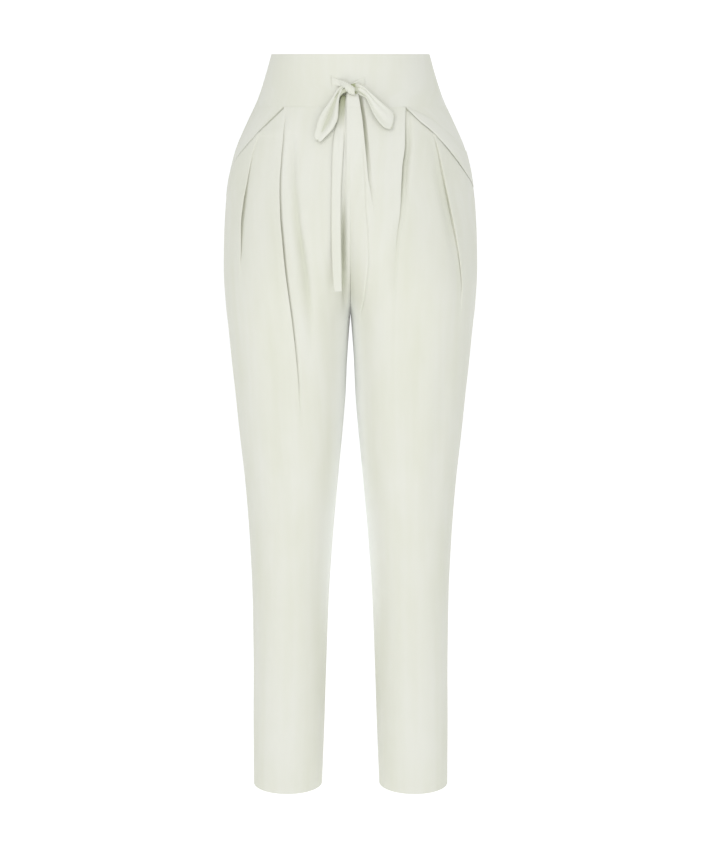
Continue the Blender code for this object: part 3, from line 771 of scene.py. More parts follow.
def makeColumns(guides, spans):
    # Guides run from the side seam to the middle. Each is a function of z that gives the angle, or a
    # pleat. Spans hold the shares of the way at which columns stand between two guides.
    columns = []
    for i, guide in enumerate(guides):
        if callable(guide):
            columns.append((guide, None, 0))
        else:
            order = range(foldCount) if guide["turned"] == 1 else range(foldCount - 1, -1, -1)
            columns += [(lambda z, k=k, guide=guide: foldAngle(guide, k, z), guide, k) for k in order]
        if i + 1 < len(guides):
            start = columns[-1][0]
            end = guides[i + 1]
            if not callable(end):
                nearest = 0 if end["turned"] == 1 else foldCount - 1
                end = (lambda z, k=nearest, pleat=end: foldAngle(pleat, k, z))
            for part in sorted(spans[i]):
                columns.append((lambda z, a=start, b=end, p=part: a(z) * (1 - p) + b(z) * p, None, 0))
    return columns


def columnHeight(column, side, angle, z):
    pleat, k = column[1:]
    if pleat is None:
        x = np.abs(bodyPoint(side, front, angle, z)[..., 0]) - bodyForm["seamGap"]
        return frontHeight(side, x, z)
    measured, fall = foldSteps(pleat, z)[k][1:]
    line = along(pleat["line"], z) * mm
    high = pleatRow(pleat, z)[0] * upperShare(pleat, 0 * z, line)
    return high - fall + frontHeight(side, line + pleat["turned"] * measured, z, pleat)


def foldedShare(column, z):
    if column[1] is None:
        return 0 * z
    high, low = pleatRow(column[1], z)[:2]
    return foldedAt(high + low)


# leg panels

legs = {
    "level": {front: (-0.26, 150), back: (-0.074, 220)},  # where the even level rows begin, and how many
    "aboveHem": 0.004,  # where they end
    "hemSteps": (0.0025, 0.0012, 0.0005, 0.0001, 0),  # the rows at the hem
    "topSteps": (0, 0.0003, 0.0007, 0.0012, 0.002),  # the back's rows below the waist seam
    "hip": ((0, 0.002, 0.005, 0.011), (0.02, 1, 96)),  # the front's rows above its level ones
    "backAcross": ((0, 0.0015, 0.004, 0.009), (0.02, 0.98, 74), (0.991, 0.996, 0.9985, 1)),
    "backCreaseShade": 1.4,  # how much darker the painted shade in the back's creases goes
    "cloth": 0.65 * mm,
    "thinner": 0.3,  # share of its thickness that cloth loses in a fold
    "hem": (0.026, 0.6 * mm, 1.5 * mm),  # the turn-up's height, what it adds, and over what it ends
    "pocketHem": (0.4 * mm, 0.010, 0.002),  # what the turned edge adds, its width, and over what it ends
    "pocketRoll": (0.25 * mm, 0.0004, 0.0012),  # how far that edge rolls in, how near it, and over what
    "lip": {  # how far the pocket's edge stands off the plain form: z, mm
        right: ((-69, 0.2), (-92, 0.6), (-100, 1.3), (-104, 1.4), (-112, 0.5), (-125, 0.5), (-140, 0.6),
                (-165, 0.7), (-172, 0.6)),
        left: ((-69, -0.3), (-180.4, -0.3)),
    },
    "hold": {right: (0.012, 0.036), left: (0, 0.004)},  # how far the lip lasts, and over what it fades
    "lipPast": 0.02,  # how far below the pocket's foot the lip goes on
    "past": 0.001,  # how far the roll does, and how far below the waist seam the turned edge begins
}
innerLegLight = {  # painted light where the cloth faces the other leg, which keeps light off it
    "paintedLightAndShade": 0.9,
    "facing": (0.7, 0.28),  # from how squarely it faces it, and over how much more
    "top": (-0.275, 0.05),  # height, and how far below it the paler tone is full
    "foot": (-0.92, 0.25),  # height, and how far above it the paler tone is full
}
seamSteps = [0.002, 0.005, 0.010]  # the first columns beside a side seam, as shares of the way


def stitchAngle(z, shift=0):
    # beside the deep fold the columns keep clear of it
    clear = along(pucker["line"], z) - flyStitch["clear"]
    return angleAt(front, np.minimum(along(flyStitch["line"], z), clear) * mm + shift, z)


guides = {
    right: (
        lambda z: 0 * z, pleats[right][0], pleats[right][1],
        lambda z: lineAngle(softFolds[right, front][0]["line"], z),
        lambda z: lineAngle(softFolds[right, front][1]["line"], z), lambda z: centreAngle(front, z),
    ),
    left: (
        lambda z: 0 * z, pleats[left][0], pleats[left][1], pucker,
        lambda z: stitchAngle(z, flyStitch["beside"] * mm), stitchAngle,
        lambda z: stitchAngle(z, -flyStitch["beside"] * mm), lambda z: centreAngle(front, z),
    ),
}
spans = {
    right: (seamSteps + list(shares(20)), shares(24), shares(10), shares(36), list(shares(16)) + [0.985]),
    left: (seamSteps + list(shares(20)), shares(26), shares(28), shares(4), (0.4, 0.75), (0.25, 0.6),
           list(shares(18)) + [0.985]),
}


def clothThickness(z, edge, folded):
    turnUp, adds, over = legs["hem"]
    turned = adds * (1 - ease((z - (bodyForm["hem"] + turnUp)) / over))
    return legs["cloth"] * (1 - legs["thinner"] * folded) + turned + legs["pocketHem"][0] * edge


def edgeDistance(side, rows, points):
    z = np.linspace(rows[0][0], rows[-1][0], edgePoints) * mm
    line = bodyPoint(side, front, lineAngle(rows, z), z)
    return np.stack([np.linalg.norm(row[:, None] - line[None], axis=-1).min(-1) for row in points])


def seamRolls(plain, rows, hangsFrom):
    # the rolls at a panel's seams and hem, and how much of the folds is left beside them
    toSide = np.linalg.norm(plain - plain[:, :1], axis=-1)
    toMiddle = np.linalg.norm(plain - plain[:, -1:], axis=-1)
    atMiddle, atInseam = (rollIn(toMiddle, *seams[k]) for k in ("middle", "plain"))
    height = np.where(rows > bodyForm["crotch"], atMiddle, atInseam)
    height = height + np.where(rows < hangsFrom, rollIn(toSide, *seams["plain"]), 0)
    height = height + rollIn(bodyForm["waistSeam"] - rows, *seams["waist"])
    height = height + rollIn(rows - bodyForm["hem"], *seams["hem"])
    above, over = seams["fadeFrom"]
    below = ease((bodyForm["crotch"] + above - rows) / over)
    fade = 1 - (1 - ease(toMiddle / seams["inner"])) * below
    fade = fade * (1 - (1 - ease(toSide / seams["inner"])) * (rows < hangsFrom + over))
    return height, fade


# painted light on cloth that faces the other leg, between the given heights
def innerLegPaintedLight(side, normal, rows):
    turned, over = innerLegLight["facing"]
    facing = np.clip((-side * normal[..., 0] - turned) / over, 0, 1) ** 2
    return innerLegLight["paintedLightAndShade"] * facing * between(rows, *innerLegLight["top"], *innerLegLight["foot"])


def sewPanel(name, side, node, rows, plain, normal, height, paintedLightAndShade, thickness):
    outer = plain + height[..., None] * normal
    inner = outer - thickness[..., None] * gridNormal(outer, normal)
    # the inner face ends level with the outer one at the waist seam, the hem and the seam in the middle
    inner[0, :, 2] = np.minimum(inner[0, :, 2], outer[0, :, 2])
    inner[-1, :, 2] = bodyForm["hem"] + legs["hemSteps"][-2]
    inner[:, -1, 0] = np.where(outer[:, -1, 2] > bodyForm["crotch"], outer[:, -1, 0], inner[:, -1, 0])
    return clothPiece(name, outer, inner, "leg", node, paintedLightAndShade + innerLegPaintedLight(side, normal, rows))


def levelRows(face):
    top, count = legs["level"][face]
    hem = bodyForm["hem"]
    even = np.linspace(top, hem + legs["aboveHem"], count)
    return np.concatenate([even, hem + np.array(legs["hemSteps"])])


def columnTops(side, columns):
    # where each column begins: under the pocket's edge as far as the inner pleat, then at the waist seam
    pocket = pocketEdge[side]
    z = np.linspace(pocket[-1][0] * mm, bodyForm["waistSeam"], edgeHeights)
    pocketAngle = lineAngle(pocket, z)
    top, besidePocket = [], True
    for column in columns:
        besidePocket = besidePocket and column[1] is not pleats[side][1]
        over = pocketAngle - column[0](z)
        over[0] = min(over[0], 0)
        top.append(z[np.nonzero(over <= 0)[0][-1]] if besidePocket else bodyForm["waistSeam"])
    top[0] = z[0]
    return np.array(top) - bodyForm["seamGap"]


def frontPanel(name, side, node):
    columns = makeColumns(guides[side], spans[side])
    top = columnTops(side, columns)
    low = levelRows(front)
    slanted = top + (low[0] - top) * places(*legs["hip"])[:-1, None]
    rows = np.concatenate([slanted, np.repeat(low[:, None], len(top), 1)])
    angle, height, folded = np.empty_like(rows), np.empty_like(rows), np.empty_like(rows)
    for i, column in enumerate(columns):
        angle[:, i] = column[0](rows[:, i])
        height[:, i] = columnHeight(column, side, angle[:, i], rows[:, i])
        folded[:, i] = foldedShare(column, rows[:, i])
    plain = bodyPoint(side, front, angle, rows)
    normal = bodyNormal(side, front, angle, rows)
    foot = pocketEdge[side][-1][0] * mm
    toPocket = edgeDistance(side, pocketEdge[side], plain)
    rolls, fade = seamRolls(plain, rows, foot)
    hold, over = legs["hold"][side]
    lip = along(legs["lip"][side], rows) * mm * (1 - ease((toPocket - hold) / over))
    lip = lip * (rows > foot - legs["lipPast"])
    depth, near, over = legs["pocketRoll"]
    atPocket = depth * (1 - ease((toPocket - near) / over)) * (rows > foot - legs["past"])
    width, over = legs["pocketHem"][1:]
    below = rows < bodyForm["waistSeam"] - legs["past"]
    edge = (side == right) * (1 - ease((toPocket - width) / over)) * below
    height = height * fade
    return sewPanel(name, side, node, rows, plain, normal, height + rolls + lip - atPocket,
                    paintedCreaseShade(height), clothThickness(rows, edge, folded))


def backPanel(name, side, node):
    across = places(*legs["backAcross"])
    top = bodyForm["waistSeam"] - bodyForm["seamGap"] - np.array(legs["topSteps"])
    rows = np.repeat(np.concatenate([top, levelRows(back)])[:, None], len(across), 1)
    angle = centreAngle(back, rows) * across
    plain = bodyPoint(side, back, angle, rows)
    normal = bodyNormal(side, back, angle, rows)
    rolls, fade = seamRolls(plain, rows, 0)
    height = softHeight(side, back, np.abs(plain[..., 0]), rows) * fade + rolls
    return sewPanel(name, side, node, rows, plain, normal, height,
                    paintedCreaseShade(height * legs["backCreaseShade"]), clothThickness(rows, 0, 0))


panels = {
    "frontRight": frontPanel("frontRight", right, "front_right"),
    "frontLeft": frontPanel("frontLeft", left, "front_left"),
    "backRight": backPanel("backRight", right, "back_right"),
    "backLeft": backPanel("backLeft", left, "back_left"),
}
print("leg panels sewn")

# waistband

band = {
    "cloth": 1.1 * mm,
    "thinner": 0.5,  # share of its thickness that cloth loses in the fold
    "top": (1.1 * mm, 0.5 * mm),  # radius and depth of the rolled top edge
    "innerTop": 0.7,  # share of that depth by which its inner face rolls out
    "rows": (
        (0, -0.0001, -0.0003, -0.0006, -0.001, -0.0015, -0.0024), (-0.004, -0.0665, 60),
        (-0.0675, -0.0682, -0.0686, -0.0689),
    ),
    "clear": (3.6, 19),  # columns keep this far, in mm, off the pucker and the middle
    "slits": (  # for the sash: x, top, foot, strength
        (-25.2, -28.0, -42.5, 1), (18.9, -28.5, -40.5, 0.45),
    ),
    "slit": (0.9, 0.6, 0.25, 1.3, 0.5),  # depth and width of the cut, height, place and width of its edge
    "slitEnd": (0.001, 0.0012),  # how far past its ends it runs, and over what it ends
}


def slitRelief(x, z):
    depth, width, ridge, place, breadth = (v * mm for v in band["slit"])
    past, over = band["slitEnd"]
    height = np.zeros(x.shape)
    for across, high, low, strength in band["slits"]:
        ends = between(z, high * mm + past, over, low * mm - past, over)
        off = np.abs(x - across * mm)
        edge = ridge * hump(off - place, breadth) - depth * hump(off, width)
        height = height + strength * ends * edge
    return height


def bandColumns(side, face):
    seam, middle = (lambda z: 0 * z), (lambda z: 0 * z + pi / 2)
    if face == back:
        return makeColumns((seam, middle), (seamSteps + list(shares(60)),))
    if side == right:
        slit = (lambda z: angleAt(front, -band["slits"][0][0] * mm + 0 * z, z))
        return makeColumns((seam, slit, middle), (seamSteps + list(shares(44)), shares(34)))
    off, least = band["clear"]
    clear = (lambda z: angleAt(front, np.maximum(along(pucker["line"], z) + off, least) * mm, z))
    return makeColumns((seam, clear, pucker, middle), (seamSteps + list(shares(44)), (0.5,), shares(14)))


def bandHalf(side, face, rows):
    # one half of the band, from its side seam to the middle
    columns = bandColumns(side, face)
    z = np.repeat(rows[:, None], len(columns), 1)
    angle, height, folded = np.empty_like(z), np.zeros_like(z), np.zeros_like(z)
    for i, column in enumerate(columns):
        angle[:, i] = column[0](rows)
        if column[1] is not None:
            folded[:, i] = foldedShare(column, rows)
            fall = foldSteps(pucker, rows)[column[2]][2]
            line = along(pucker["line"], rows) * mm
            height[:, i] = pleatRow(pucker, rows)[0] - fall - hollowDepth(line, rows)
    plain = bodyPoint(side, face, angle, z)
    plain[:, -1, 0] = 0
    normal = bodyNormal(side, face, angle, z)
    if face == front:
        loose = np.array([column[1] is None for column in columns])
        x, zLoose = plain[:, loose, 0], z[:, loose]
        height[:, loose] = pleatHeight(pucker, x, zLoose) + slitRelief(x, zLoose) - hollowDepth(x, zLoose)
    full = plain + height[..., None] * normal
    thickness = band["cloth"] * (1 - band["thinner"] * folded)
    inner = full - thickness[..., None] * gridNormal(full, normal)
    seam = np.linalg.norm(plain - plain[:, :1], axis=-1)
    roll = rollIn(seam, *seams["plain"]) + rollIn(z - bodyForm["waistSeam"], *seams["waist"])
    atTop = rollIn(-z, *band["top"])
    outer = full + (roll + atTop)[..., None] * normal
    inner = inner - (atTop * band["innerTop"])[..., None] * normal
    inner[..., 2] = np.minimum(inner[..., 2], band["rows"][0][1])
    return outer, inner, paintedCreaseShade(height)


def waistBand(name, face, node):
    rows = np.append(places(*band["rows"]), bodyForm["waistSeam"] + bodyForm["seamGap"])
    halves = bandHalf(right, face, rows), bandHalf(left, face, rows)
    outer, inner, paintedLightAndShade = (np.concatenate([a, b[:, -2::-1]], 1) for a, b in zip(*halves))
    return clothPiece(name, outer, inner, "band", node, paintedLightAndShade)


bands = {
    "waistFront": waistBand("waistFront", front, "waistband_front"),
    "waistBack": waistBand("waistBack", back, "waistband_back"),
}
print("waistband sewn")

# hip pieces and the pocket's welt

hips = {
    "cloth": 0.6 * mm,
    "lap": 11 * mm,  # how far a hip piece runs on under the pocket's edge
    "below": 8 * mm,  # how far it runs on below the edge's foot
    "sunk": {  # mm down, from how far before the edge, and over what
        right: (-3.2, 4.4, 3.2), left: (-1.5, 0.4, 2.6),
    },
    "across": ((0, 0.006, 0.014, 0.03), (0.05, 1, 64)),
    "paintedLightAndShade": (-0.5, 3 * mm),  # painted shade where it sinks: how much darker, and how deep it lies there
    "topSteps": (0, 0.0003, 0.0008),  # rows below the waist seam
    "even": (0.0015, 66),  # from where the rows stand evenly, and how many
}
welt = {
    "cloth": 0.8 * mm,
    "lap": 1.8 * mm,  # how far its lower edge lies over the leg panel
    "section": (  # share of the way across, mm
        (0, 0.55), (0.06, 0.9), (0.2, 1.15), (0.5, 1.55), (0.78, 2.0), (0.92, 1.95), (1, 1.45),
    ),
    "reach": (  # z, share of the section's height
        (-69, 1), (-125, 1), (-145, 0.8), (-165, 0.5), (-182, 0.2),
    ),
    "atWaist": (0.3, 0.009),  # its height at the waist seam, and over what it gains the rest
    "across": ((0, 0.02, 0.05, 0.1), (0.15, 0.85, 20), (0.9, 0.94, 0.97, 0.985, 1)),
}


def stripRows(edge, below):
    top = bodyForm["waistSeam"] - bodyForm["seamGap"]
    start, count = hips["even"]
    even = (top - start, edge[-1][0] * mm - below, count)
    return places(top - np.array(hips["topSteps"]), even)[:, None]


def pastEdge(edge, z, lap):
    return np.where(z < edge[-1][0] * mm, 0, lineAngle(edge, z)) + lap / bodyForm["roundness"]


def stripPiece(name, side, node, z, start, end, across, heights, cloth):
    z = np.repeat(z, len(across), 1)
    angle = start(z) * (1 - across) + end(z) * across
    plain = bodyPoint(side, front, angle, z)
    normal = bodyNormal(side, front, angle, z)
    height = heights(plain, angle, z) + rollIn(bodyForm["waistSeam"] - z, *seams["waist"])
    outer = plain + height[..., None] * normal
    inner = outer - cloth * gridNormal(outer, normal)
    outer[0, :, 2] = bodyForm["waistSeam"] - bodyForm["seamGap"]
    inner[0, :, 2] = outer[0, :, 2]
    # painted shade where the piece sinks below the plain form
    deeper, depth = hips["paintedLightAndShade"]
    return clothPiece(name, outer, inner, "leg", node, deeper * ease(-height / depth))


def hipPiece(name, side, node, edge):
    drop, before, over = (v * mm for v in hips["sunk"][side])

    def heights(plain, angle, z):
        away = edgeDistance(side, edge, plain)
        away = np.where(angle < pastEdge(edge, z, 0), -away, away)
        seam = rollIn(np.linalg.norm(plain - plain[:, :1], axis=-1), *seams["plain"])
        return drop * ease((away + before) / over) + seam

    return stripPiece(name, side, node, stripRows(edge, hips["below"]), lambda z: 0 * z,
                      lambda z: pastEdge(edge, z, hips["lap"]), places(*hips["across"]), heights,
                      hips["cloth"])


def pocketWelt(name, node):
    section = np.array(welt["section"])
    across = places(*welt["across"])
    least, over = welt["atWaist"]

    def heights(plain, angle, z):
        height = np.interp(across, section[:, 0], section[:, 1])[None] * mm
        atWaist = least + (1 - least) * ease((bodyForm["waistSeam"] - z) / over)
        return height * atWaist * along(welt["reach"], z)

    return stripPiece(name, left, node, stripRows(pocketEdge[left], 0), lambda z: pastEdge(weltEdge, z, 0),
                      lambda z: pastEdge(pocketEdge[left], z, welt["lap"]), across, heights, welt["cloth"])


pocketPieces = {
    "hipPieceRight": hipPiece("hipPieceRight", right, "hip_facing_right", pocketEdge[right]),
    "hipPieceLeft": hipPiece("hipPieceLeft", left, "hip_facing_left", weltEdge),
    "pocketWelt": pocketWelt("pocketWelt", "pocket_welt_left"),
}
print("hip pieces and welt sewn")

# stitches of the fly


def oneStitch():
    # a short thread along z that thins and dips, away from y, towards both ends
    length, thick, dip = (flyStitch[k] * mm for k in ("stitch", "thread", "dip"))
    bpy.ops.object.select_all(action="DESELECT")
    bpy.ops.mesh.primitive_uv_sphere_add(segments=8, ring_count=8, radius=1)
    stitch = bpy.context.object
    stitch.data.uv_layers.active.name = "cloth"
    bpy.ops.object.shade_smooth()
    bpy.ops.object.mode_set(mode="EDIT")
    bpy.ops.transform.resize(value=(thick / 2, thick / 2, length / 2))
    bpy.ops.mesh.select_all(action="DESELECT")
    bpy.ops.object.mode_set(mode="OBJECT")
    for point in stitch.data.vertices:
        point.select = abs(point.co.z) > 0.49 * length
    bpy.ops.object.mode_set(mode="EDIT")
    bpy.ops.transform.translate(value=(0, -dip, 0), use_proportional_edit=True,
                                proportional_size=length / 2, proportional_edit_falloff="SMOOTH")
    bpy.ops.object.mode_set(mode="OBJECT")
    for corner in stitch.data.uv_layers["cloth"].data:
        corner.uv = (corner.uv.x * pi * thick, corner.uv.y * length)
    return stitch


def stitchRow(name):
    # copies of one stitch down the groove, joined
    stitch = oneStitch()
    top, foot, pitch = (flyStitch[k] * mm for k in ("top", "foot", "pitch"))
    atTop, atFoot = (v * mm for v in flyStitch["inset"])
    tops = np.arange(top - atTop, foot + atFoot, -pitch)
    run = tops[:, None] - np.array([0, 0.5, 1]) * flyStitch["stitch"] * mm
    x = along(flyStitch["line"], run) * mm
    angle = angleAt(front, x, run)
    out = bodyNormal(left, front, angle, run)
    path = bodyPoint(left, front, angle, run) + frontHeight(left, x, run)[..., None] * out
    copies = []
    for (start, middle, end), normal in zip(path, out[:, 1]):
        forward = Vector(start - end).normalized()
        wide = Vector(normal).cross(forward).normalized()
        away = forward.cross(wide)
        copy = stitch.copy()
        copy.data = stitch.data.copy()
        turned = Matrix((wide, away, forward)).transposed()
        place = Vector(middle) + flyStitch["proud"] * mm * away
        copy.matrix_world = Matrix.Translation(place) @ turned.to_4x4()
        bpy.context.scene.collection.objects.link(copy)
        copies.append(copy)
    bpy.data.objects.remove(stitch)
    bpy.ops.object.select_all(action="DESELECT")
    for copy in copies:
        copy.select_set(True)
    bpy.context.view_layer.objects.active = copies[0]
    bpy.ops.object.join()
    bpy.ops.object.transform_apply()
    row = copies[0]
    row.name = row.data.name = name
    finished(row, "thread")


stitchRow("flyStitches")
print("fly stitched")

# sash: each ribbon runs between two edges, A and B

# Each ribbon's table of share along it and value is painted shade: darker where it goes under the knot or a
# loop, and at the tails' tops.
sash = {
    "strandRight": {
        "node": "tie_strand_right", "cloth": 0.7 * mm,
        "paintedLightAndShade": ((0, 0), (0.8, 0), (1, -0.2)),
        "rows": (  # in mm: x and z of edge A, x and z of edge B, how far out from the plain front
            (-25.0, -28.4, -23.6, -40.4, 0.1), (-20.5, -30.8, -19.0, -41.4, 1.2),
            (-14.5, -33.2, -13.5, -42.4, 2.8), (-8.8, -34.8, -9.0, -43.2, 8.0),
            (-4.4, -37.2, -5.2, -44.0, 10.6), (-0.5, -39.4, -2.0, -44.8, 11.0),
        ),
        "folds": ((0.30, 0.10, ((0, 0.1), (0.4, 0.5), (1, 1.0))),
                  (0.66, 0.12, ((0, 0), (0.4, 0.3), (1, 0.9)))),
    },
    "strandLeft": {
        "node": "tie_strand_left", "cloth": 0.5 * mm,
        "paintedLightAndShade": ((0, 0), (0.7, 0), (1, -0.3)),
        "rows": (
            (18.2, -28.6, 19.2, -40.2, 0), (13.4, -30.9, 15.2, -41.6, 0.5), (8.8, -33.6, 10.5, -43.0, 1.3),
            (5.0, -36.2, 6.0, -44.2, 2.4), (1.5, -38.6, 2.0, -45.5, 3.6),
        ),
        "folds": ((0.42, 0.14, ((0, 0), (0.5, 0.4), (1, 0.9))),),
    },
    "loopRight": {
        "node": "tie_loop_right", "cloth": 0.9 * mm,
        "paintedLightAndShade": ((0, -0.4), (0.05, -0.2), (0.12, 0), (0.56, 0), (0.62, -0.3), (1, -0.4)),
        "rows": (
            (-4, -40, -2.5, -44, 5), (-11.5, -41, -8.4, -44, 5.9), (-17, -45.2, -11.4, -47.4, 6.2),
            (-22, -52.8, -14.2, -55.2, 7.1), (-27.4, -60.6, -15.4, -64.1, 7.9),
            (-33.8, -68.9, -15.9, -73.1, 8.3), (-39.1, -77, -16.7, -82.2, 8.8),
            (-43.2, -86, -19.8, -90.6, 8.9), (-45.9, -95.8, -25.4, -98.9, 8.8),
            (-48.2, -104.4, -32.9, -106.8, 8.2), (-46.4, -109.7, -39.8, -114.2, 7),
            (-45.1, -107.2, -38.5, -111.7, 5.7), (-43.5, -97.3, -31.1, -102.6, 6.4),
            (-38.7, -84.3, -24.5, -90.8, 5.4), (-32.1, -72.1, -19.9, -76.5, 4.9),
            (-23.6, -60.4, -17.8, -64.3, 5.4), (-13.8, -48.7, -11.7, -53.1, 5),
            (-4.6, -43.5, -3.8, -47.9, 4.8),
        ),
        "folds": (
            (0.5, 0.2, ((0, 0.9), (0.08, 1.2), (0.2, 3.0), (0.32, 4.2), (0.42, 3.4), (0.52, 0.8),
                        (1, 0.3))),
            (0.16, 0.10, ((0, 0.5), (0.15, 0.3), (0.3, 0), (1, 0))),
            (0.82, 0.10, ((0, 0), (0.25, -0.8), (0.4, -1.0), (0.5, 0), (1, 0))),
        ),
    },
    "loopLeft": {
        "node": "tie_loop_left", "cloth": 0.9 * mm,
        "paintedLightAndShade": ((0, -1), (0.05, -0.9), (0.09, 0), (0.56, 0), (0.64, -0.3), (1, -0.4)),
        "rows": (
            (0.7, -38.6, 3.3, -49, 3.6), (6.2, -37.6, 8.2, -51.2, 3.4), (11.4, -38.6, 13.4, -53.4, 6),
            (18.1, -41.6, 19.9, -56.8, 7), (25.6, -47.9, 24.7, -64.6, 8), (34.2, -55.6, 29.4, -74.9, 8.8),
            (43.4, -63.2, 37, -86.6, 9.1), (51, -69.4, 45.6, -95, 8.8), (55.6, -73.2, 51.6, -97, 7.7),
            (58, -77.2, 54.8, -97, 6.2), (57, -78.2, 54, -95.8, 5.8), (49.6, -71.8, 45.6, -92.4, 5.4),
            (38.3, -62.2, 34.5, -81.1, 4.7), (25.1, -51.8, 23.9, -62.2, 5.2), (12.5, -44, 13.3, -50.5, 5),
            (3.3, -42.7, 4.1, -47.9, 4.8),
        ),
        "folds": (
            (0.27, 0.08, ((0, 0), (0.12, 0.6), (0.19, 1.2), (0.32, 1.0), (0.42, 0.4), (0.5, 0), (1, 0))),
            (0.76, 0.16, ((0, 0.6), (0.15, 1.4), (0.3, 1.9), (0.42, 1.4), (0.55, 0.3), (1, 0.3))),
            (0.10, 0.08, ((0, 0), (0.15, -0.5), (0.35, -0.6), (0.5, 0), (1, 0))),
        ),
    },
    "tailRight": {
        "node": "tie_tail_right", "cloth": 1.0 * mm,
        "paintedLightAndShade": ((0, -1), (0.05, -0.8), (0.12, -0.7), (0.2, -0.45), (0.3, 0), (1, 0)),
        "rows": (
            (-11.6, -53.6, -6.4, -54.4, -3.4), (-14.0, -61.0, -6.8, -61.8, -2.2),
            (-16.8, -75.3, -7.0, -75.9, -1.4), (-19.6, -92.2, -7.5, -92.4, -0.2),
            (-22.6, -111.7, -8.3, -111.7, 1.9), (-24.1, -137.8, -9.9, -137.8, 2.8),
            (-25.0, -176.9, -12.2, -176.9, 2.8), (-25.3, -216.1, -12.6, -216.1, 2.8),
            (-25.1, -248.9, -12.2, -248.9, 2.8), (-24.2, -275.4, -11.7, -275.4, 2.8),
            (-22.9, -296.8, -11.5, -296.8, 2.8), (-21.7, -310.9, -11.1, -310.9, 2.8),
        ),
        "folds": (
            (0.5, 0.16, ((0, 0.4), (0.2, 0.4), (0.5, 0.15), (1, 0.1))),
            (0.85, 0.09, ((0, 0), (0.2, 0.1), (1, 0))),
        ),
    },
    "tailLeft": {
        "node": "tie_tail_left", "cloth": 0.9 * mm,
        "paintedLightAndShade": ((0, -0.5), (0.3, 0), (1, 0)),
        "rows": (
            (-11.2, -54.4, -7.4, -55.0, -4.6), (-12.6, -61.6, -8.2, -62.3, -3.4),
            (-15.4, -75.9, -8.8, -75.9, -2.6), (-18.2, -92.2, -9.5, -92.2, -1.4),
            (-21.3, -111.7, -10.2, -111.7, 0.6), (-22.9, -137.8, -11.6, -137.8, 1.3),
            (-23.7, -176.9, -13.9, -176.9, 1.2), (-24.0, -216.1, -14.3, -216.1, 1.2),
            (-23.5, -242.3, -14.1, -242.3, 1.2), (-22.5, -266.1, -14.0, -266.1, 1.2),
        ),
        "folds": ((0.5, 0.2, ((0, 0.8), (0.2, 0.3), (1, 0))),),
    },
}
knot = {
    "cut": (0.0125, 0.03),
    "centre": (-1.6, -44.6, 6.2),  # x, z and how far out, in mm
    "half": (7.4, 5.0, 6.7),
    "slant": 0.62,  # its end on the wearer's right is higher than the other by this share of its height
    "creases": ((-0.42, 0.07, 0.10), (0.12, 0.06, 0.08), (0.58, 0.08, 0.12)),  # place across, width, depth
    "lean": 0.18,  # how far the creases lean over
    "taper": {right: (0.95, 2.4), left: (0.3, 3)},  # how much slimmer each end is, and how suddenly
    "squarer": (0.7, 0.9),  # powers that square off its front and its top
    "around": 56,
    "ends": (  # how far tucked in, share of the size
        (0.42, 0.3), (0.2, 0.62), (0.08, 0.84), (0.02, 0.95), (0, 1.0),
    ),
    "rings": (-0.97, 0.97, 33),
    "laidOut": (0.04, 0.0005),  # metres of its cloth once round, and from ring to ring
}
ribbonShape = {
    "parts": 12,  # from row to row
    "across": ((0, 0.012, 0.03, 0.06, 0.1), (0.15, 0.85, 19), (0.9, 0.94, 0.97, 0.988, 1)),
    "edgeDrop": ((0.4, 2), (0.9, 12)),  # mm that the edges curl back, and how close to them
    # painted shade at the ribbon's curled edges and in its folds
    "paintedEdgeShade": -0.2,
    "paintedFoldShade": -0.09,  # painted shade for each mm that a fold is deep
    "thinEdge": (9, 0.3),  # how close to its edges it thins, and to what share
}


def smoothPath(rows, parts):
    table = np.array(rows, float)
    fine = np.linspace(0, len(table) - 1, (len(table) - 1) * parts + 1)
    tangent = np.gradient(table, axis=0)
    i = np.minimum(fine.astype(int), len(table) - 2)
    s = (fine - i)[:, None]
    return blend(table[i], table[i + 1], tangent[i], tangent[i + 1], s)


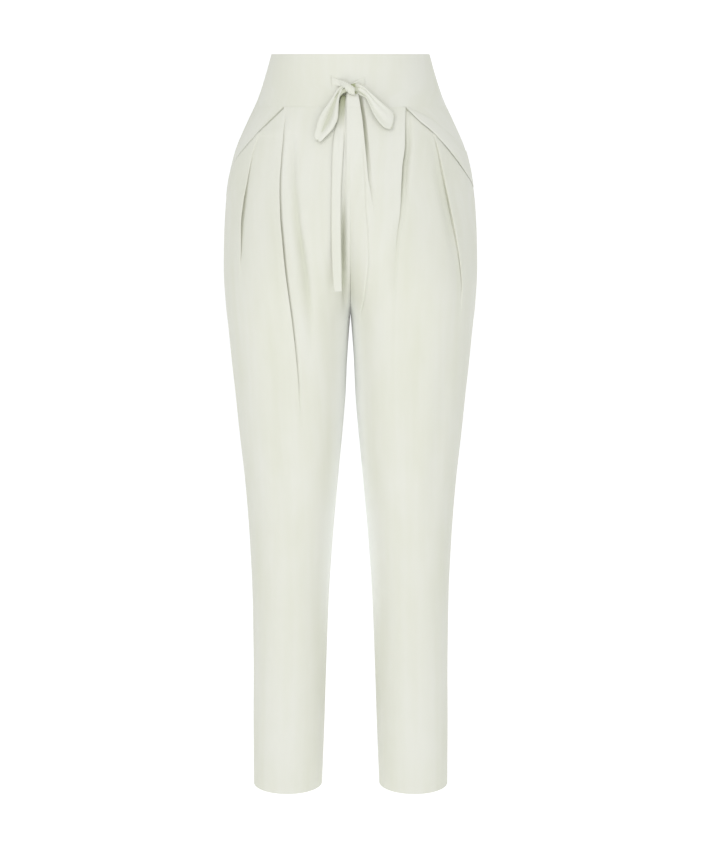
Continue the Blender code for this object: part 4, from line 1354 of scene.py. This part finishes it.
def ribbon(name):
    look = sash[name]
    xA, zA, xB, zB, out = smoothPath(look["rows"], ribbonShape["parts"]).T * mm
    yA, yB = frontY(xA, zA) - out, frontY(xB, zB) - out
    if "tail" in name:  # it hangs straight down from where the front stands out most
        yA = np.minimum.accumulate(np.minimum(yA, yB))
        yB = yA
    edgeA, edgeB = np.stack([xA, yA, zA], 1), np.stack([xB, yB, zB], 1)
    across = places(*ribbonShape["across"])
    middle = edgeA[:, None] * (1 - across[None, :, None]) + edgeB[:, None] * across[None, :, None]
    normal = np.cross(np.gradient((edgeA + edgeB) / 2, axis=0), edgeB - edgeA)
    normal /= np.linalg.norm(normal, axis=1, keepdims=True)
    if normal[0, 1] > 0:
        normal = -normal
    share = np.linspace(0, 1, len(xA))
    edge = np.abs(2 * across - 1)
    (broad, soft), (sharp, sudden) = ribbonShape["edgeDrop"]
    lift = -(broad * edge ** soft + sharp * edge ** sudden) * mm + 0 * share[:, None]
    # painted shade along the ribbon, at its curled edges and in its folds
    paintedLightAndShade = np.interp(share, *np.array(look["paintedLightAndShade"]).T)[:, None] + ribbonShape["paintedEdgeShade"] * edge ** sudden
    for place, width, depths in look["folds"]:
        depth = np.interp(share, *np.array(depths).T)[:, None]
        fold = depth * hump(across - place, width)
        lift = lift - fold * mm
        paintedLightAndShade = paintedLightAndShade + ribbonShape["paintedFoldShade"] * np.maximum(fold, 0)
    middle = middle + lift[..., None] * normal[:, None]
    own = gridNormal(middle, np.broadcast_to(normal[:, None], middle.shape))
    close, least = ribbonShape["thinEdge"]
    half = look["cloth"] / 2 * np.clip(1 - edge ** close, least, 1)[None, :, None]
    return clothPiece(name, middle + half * own, middle - half * own, "sash", look["node"], paintedLightAndShade)


def bowKnot(name, node):
    # a flat wrap that goes over the front of the bow and back under it, with its two ends tucked in
    x, z, out = (v * mm for v in knot["centre"])
    half = np.array(knot["half"]) * mm
    centre = np.array((x, frontY(x, z) - out, z))
    rings = [(-1 + tuck, size) for tuck, size in knot["ends"]]
    rings += [(u, 1.0) for u in np.linspace(*knot["rings"])]
    rings += [(1 - tuck, size) for tuck, size in reversed(knot["ends"])]
    around = knot["around"]
    length, step = knot["laidOut"]
    flatter, rounder = knot["squarer"]
    points, uv, faces = [], [], []
    for j, (u, size) in enumerate(rings):
        slimmer, power = knot["taper"][left if u > 0 else right]
        barrel = (1 - slimmer * abs(u) ** power) * size
        for i in range(around):
            c, s = cos(2 * pi * i / around), sin(2 * pi * i / around)
            place = u + knot["lean"] * s
            dents = [deep * hump(place - at, width) for at, width, deep in knot["creases"]]
            reach = barrel * (1 - sum(dents))
            py = -np.sign(c) * abs(c) ** flatter * reach
            pz = np.sign(s) * abs(s) ** rounder * reach - knot["slant"] * u
            points.append(centre + half * (u, py, pz))
            uv.append((i / around * length, j * step))
    for j in range(len(rings) - 1):
        for i in range(around):
            a, b, k = j * around, (j + 1) * around, (i + 1) % around
            faces.append((a + i, b + i, b + k, a + k))
    last = (len(rings) - 1) * around
    faces.append(tuple(range(around)))
    faces.append(tuple(last + i for i in range(around - 1, -1, -1)))
    return meshPiece(name, points, faces, "sash", node, uv)


sashPieces = {name: ribbon(name) for name in sash}
bow = bowKnot("bowKnot", "tie_knot")
print("sash tied")
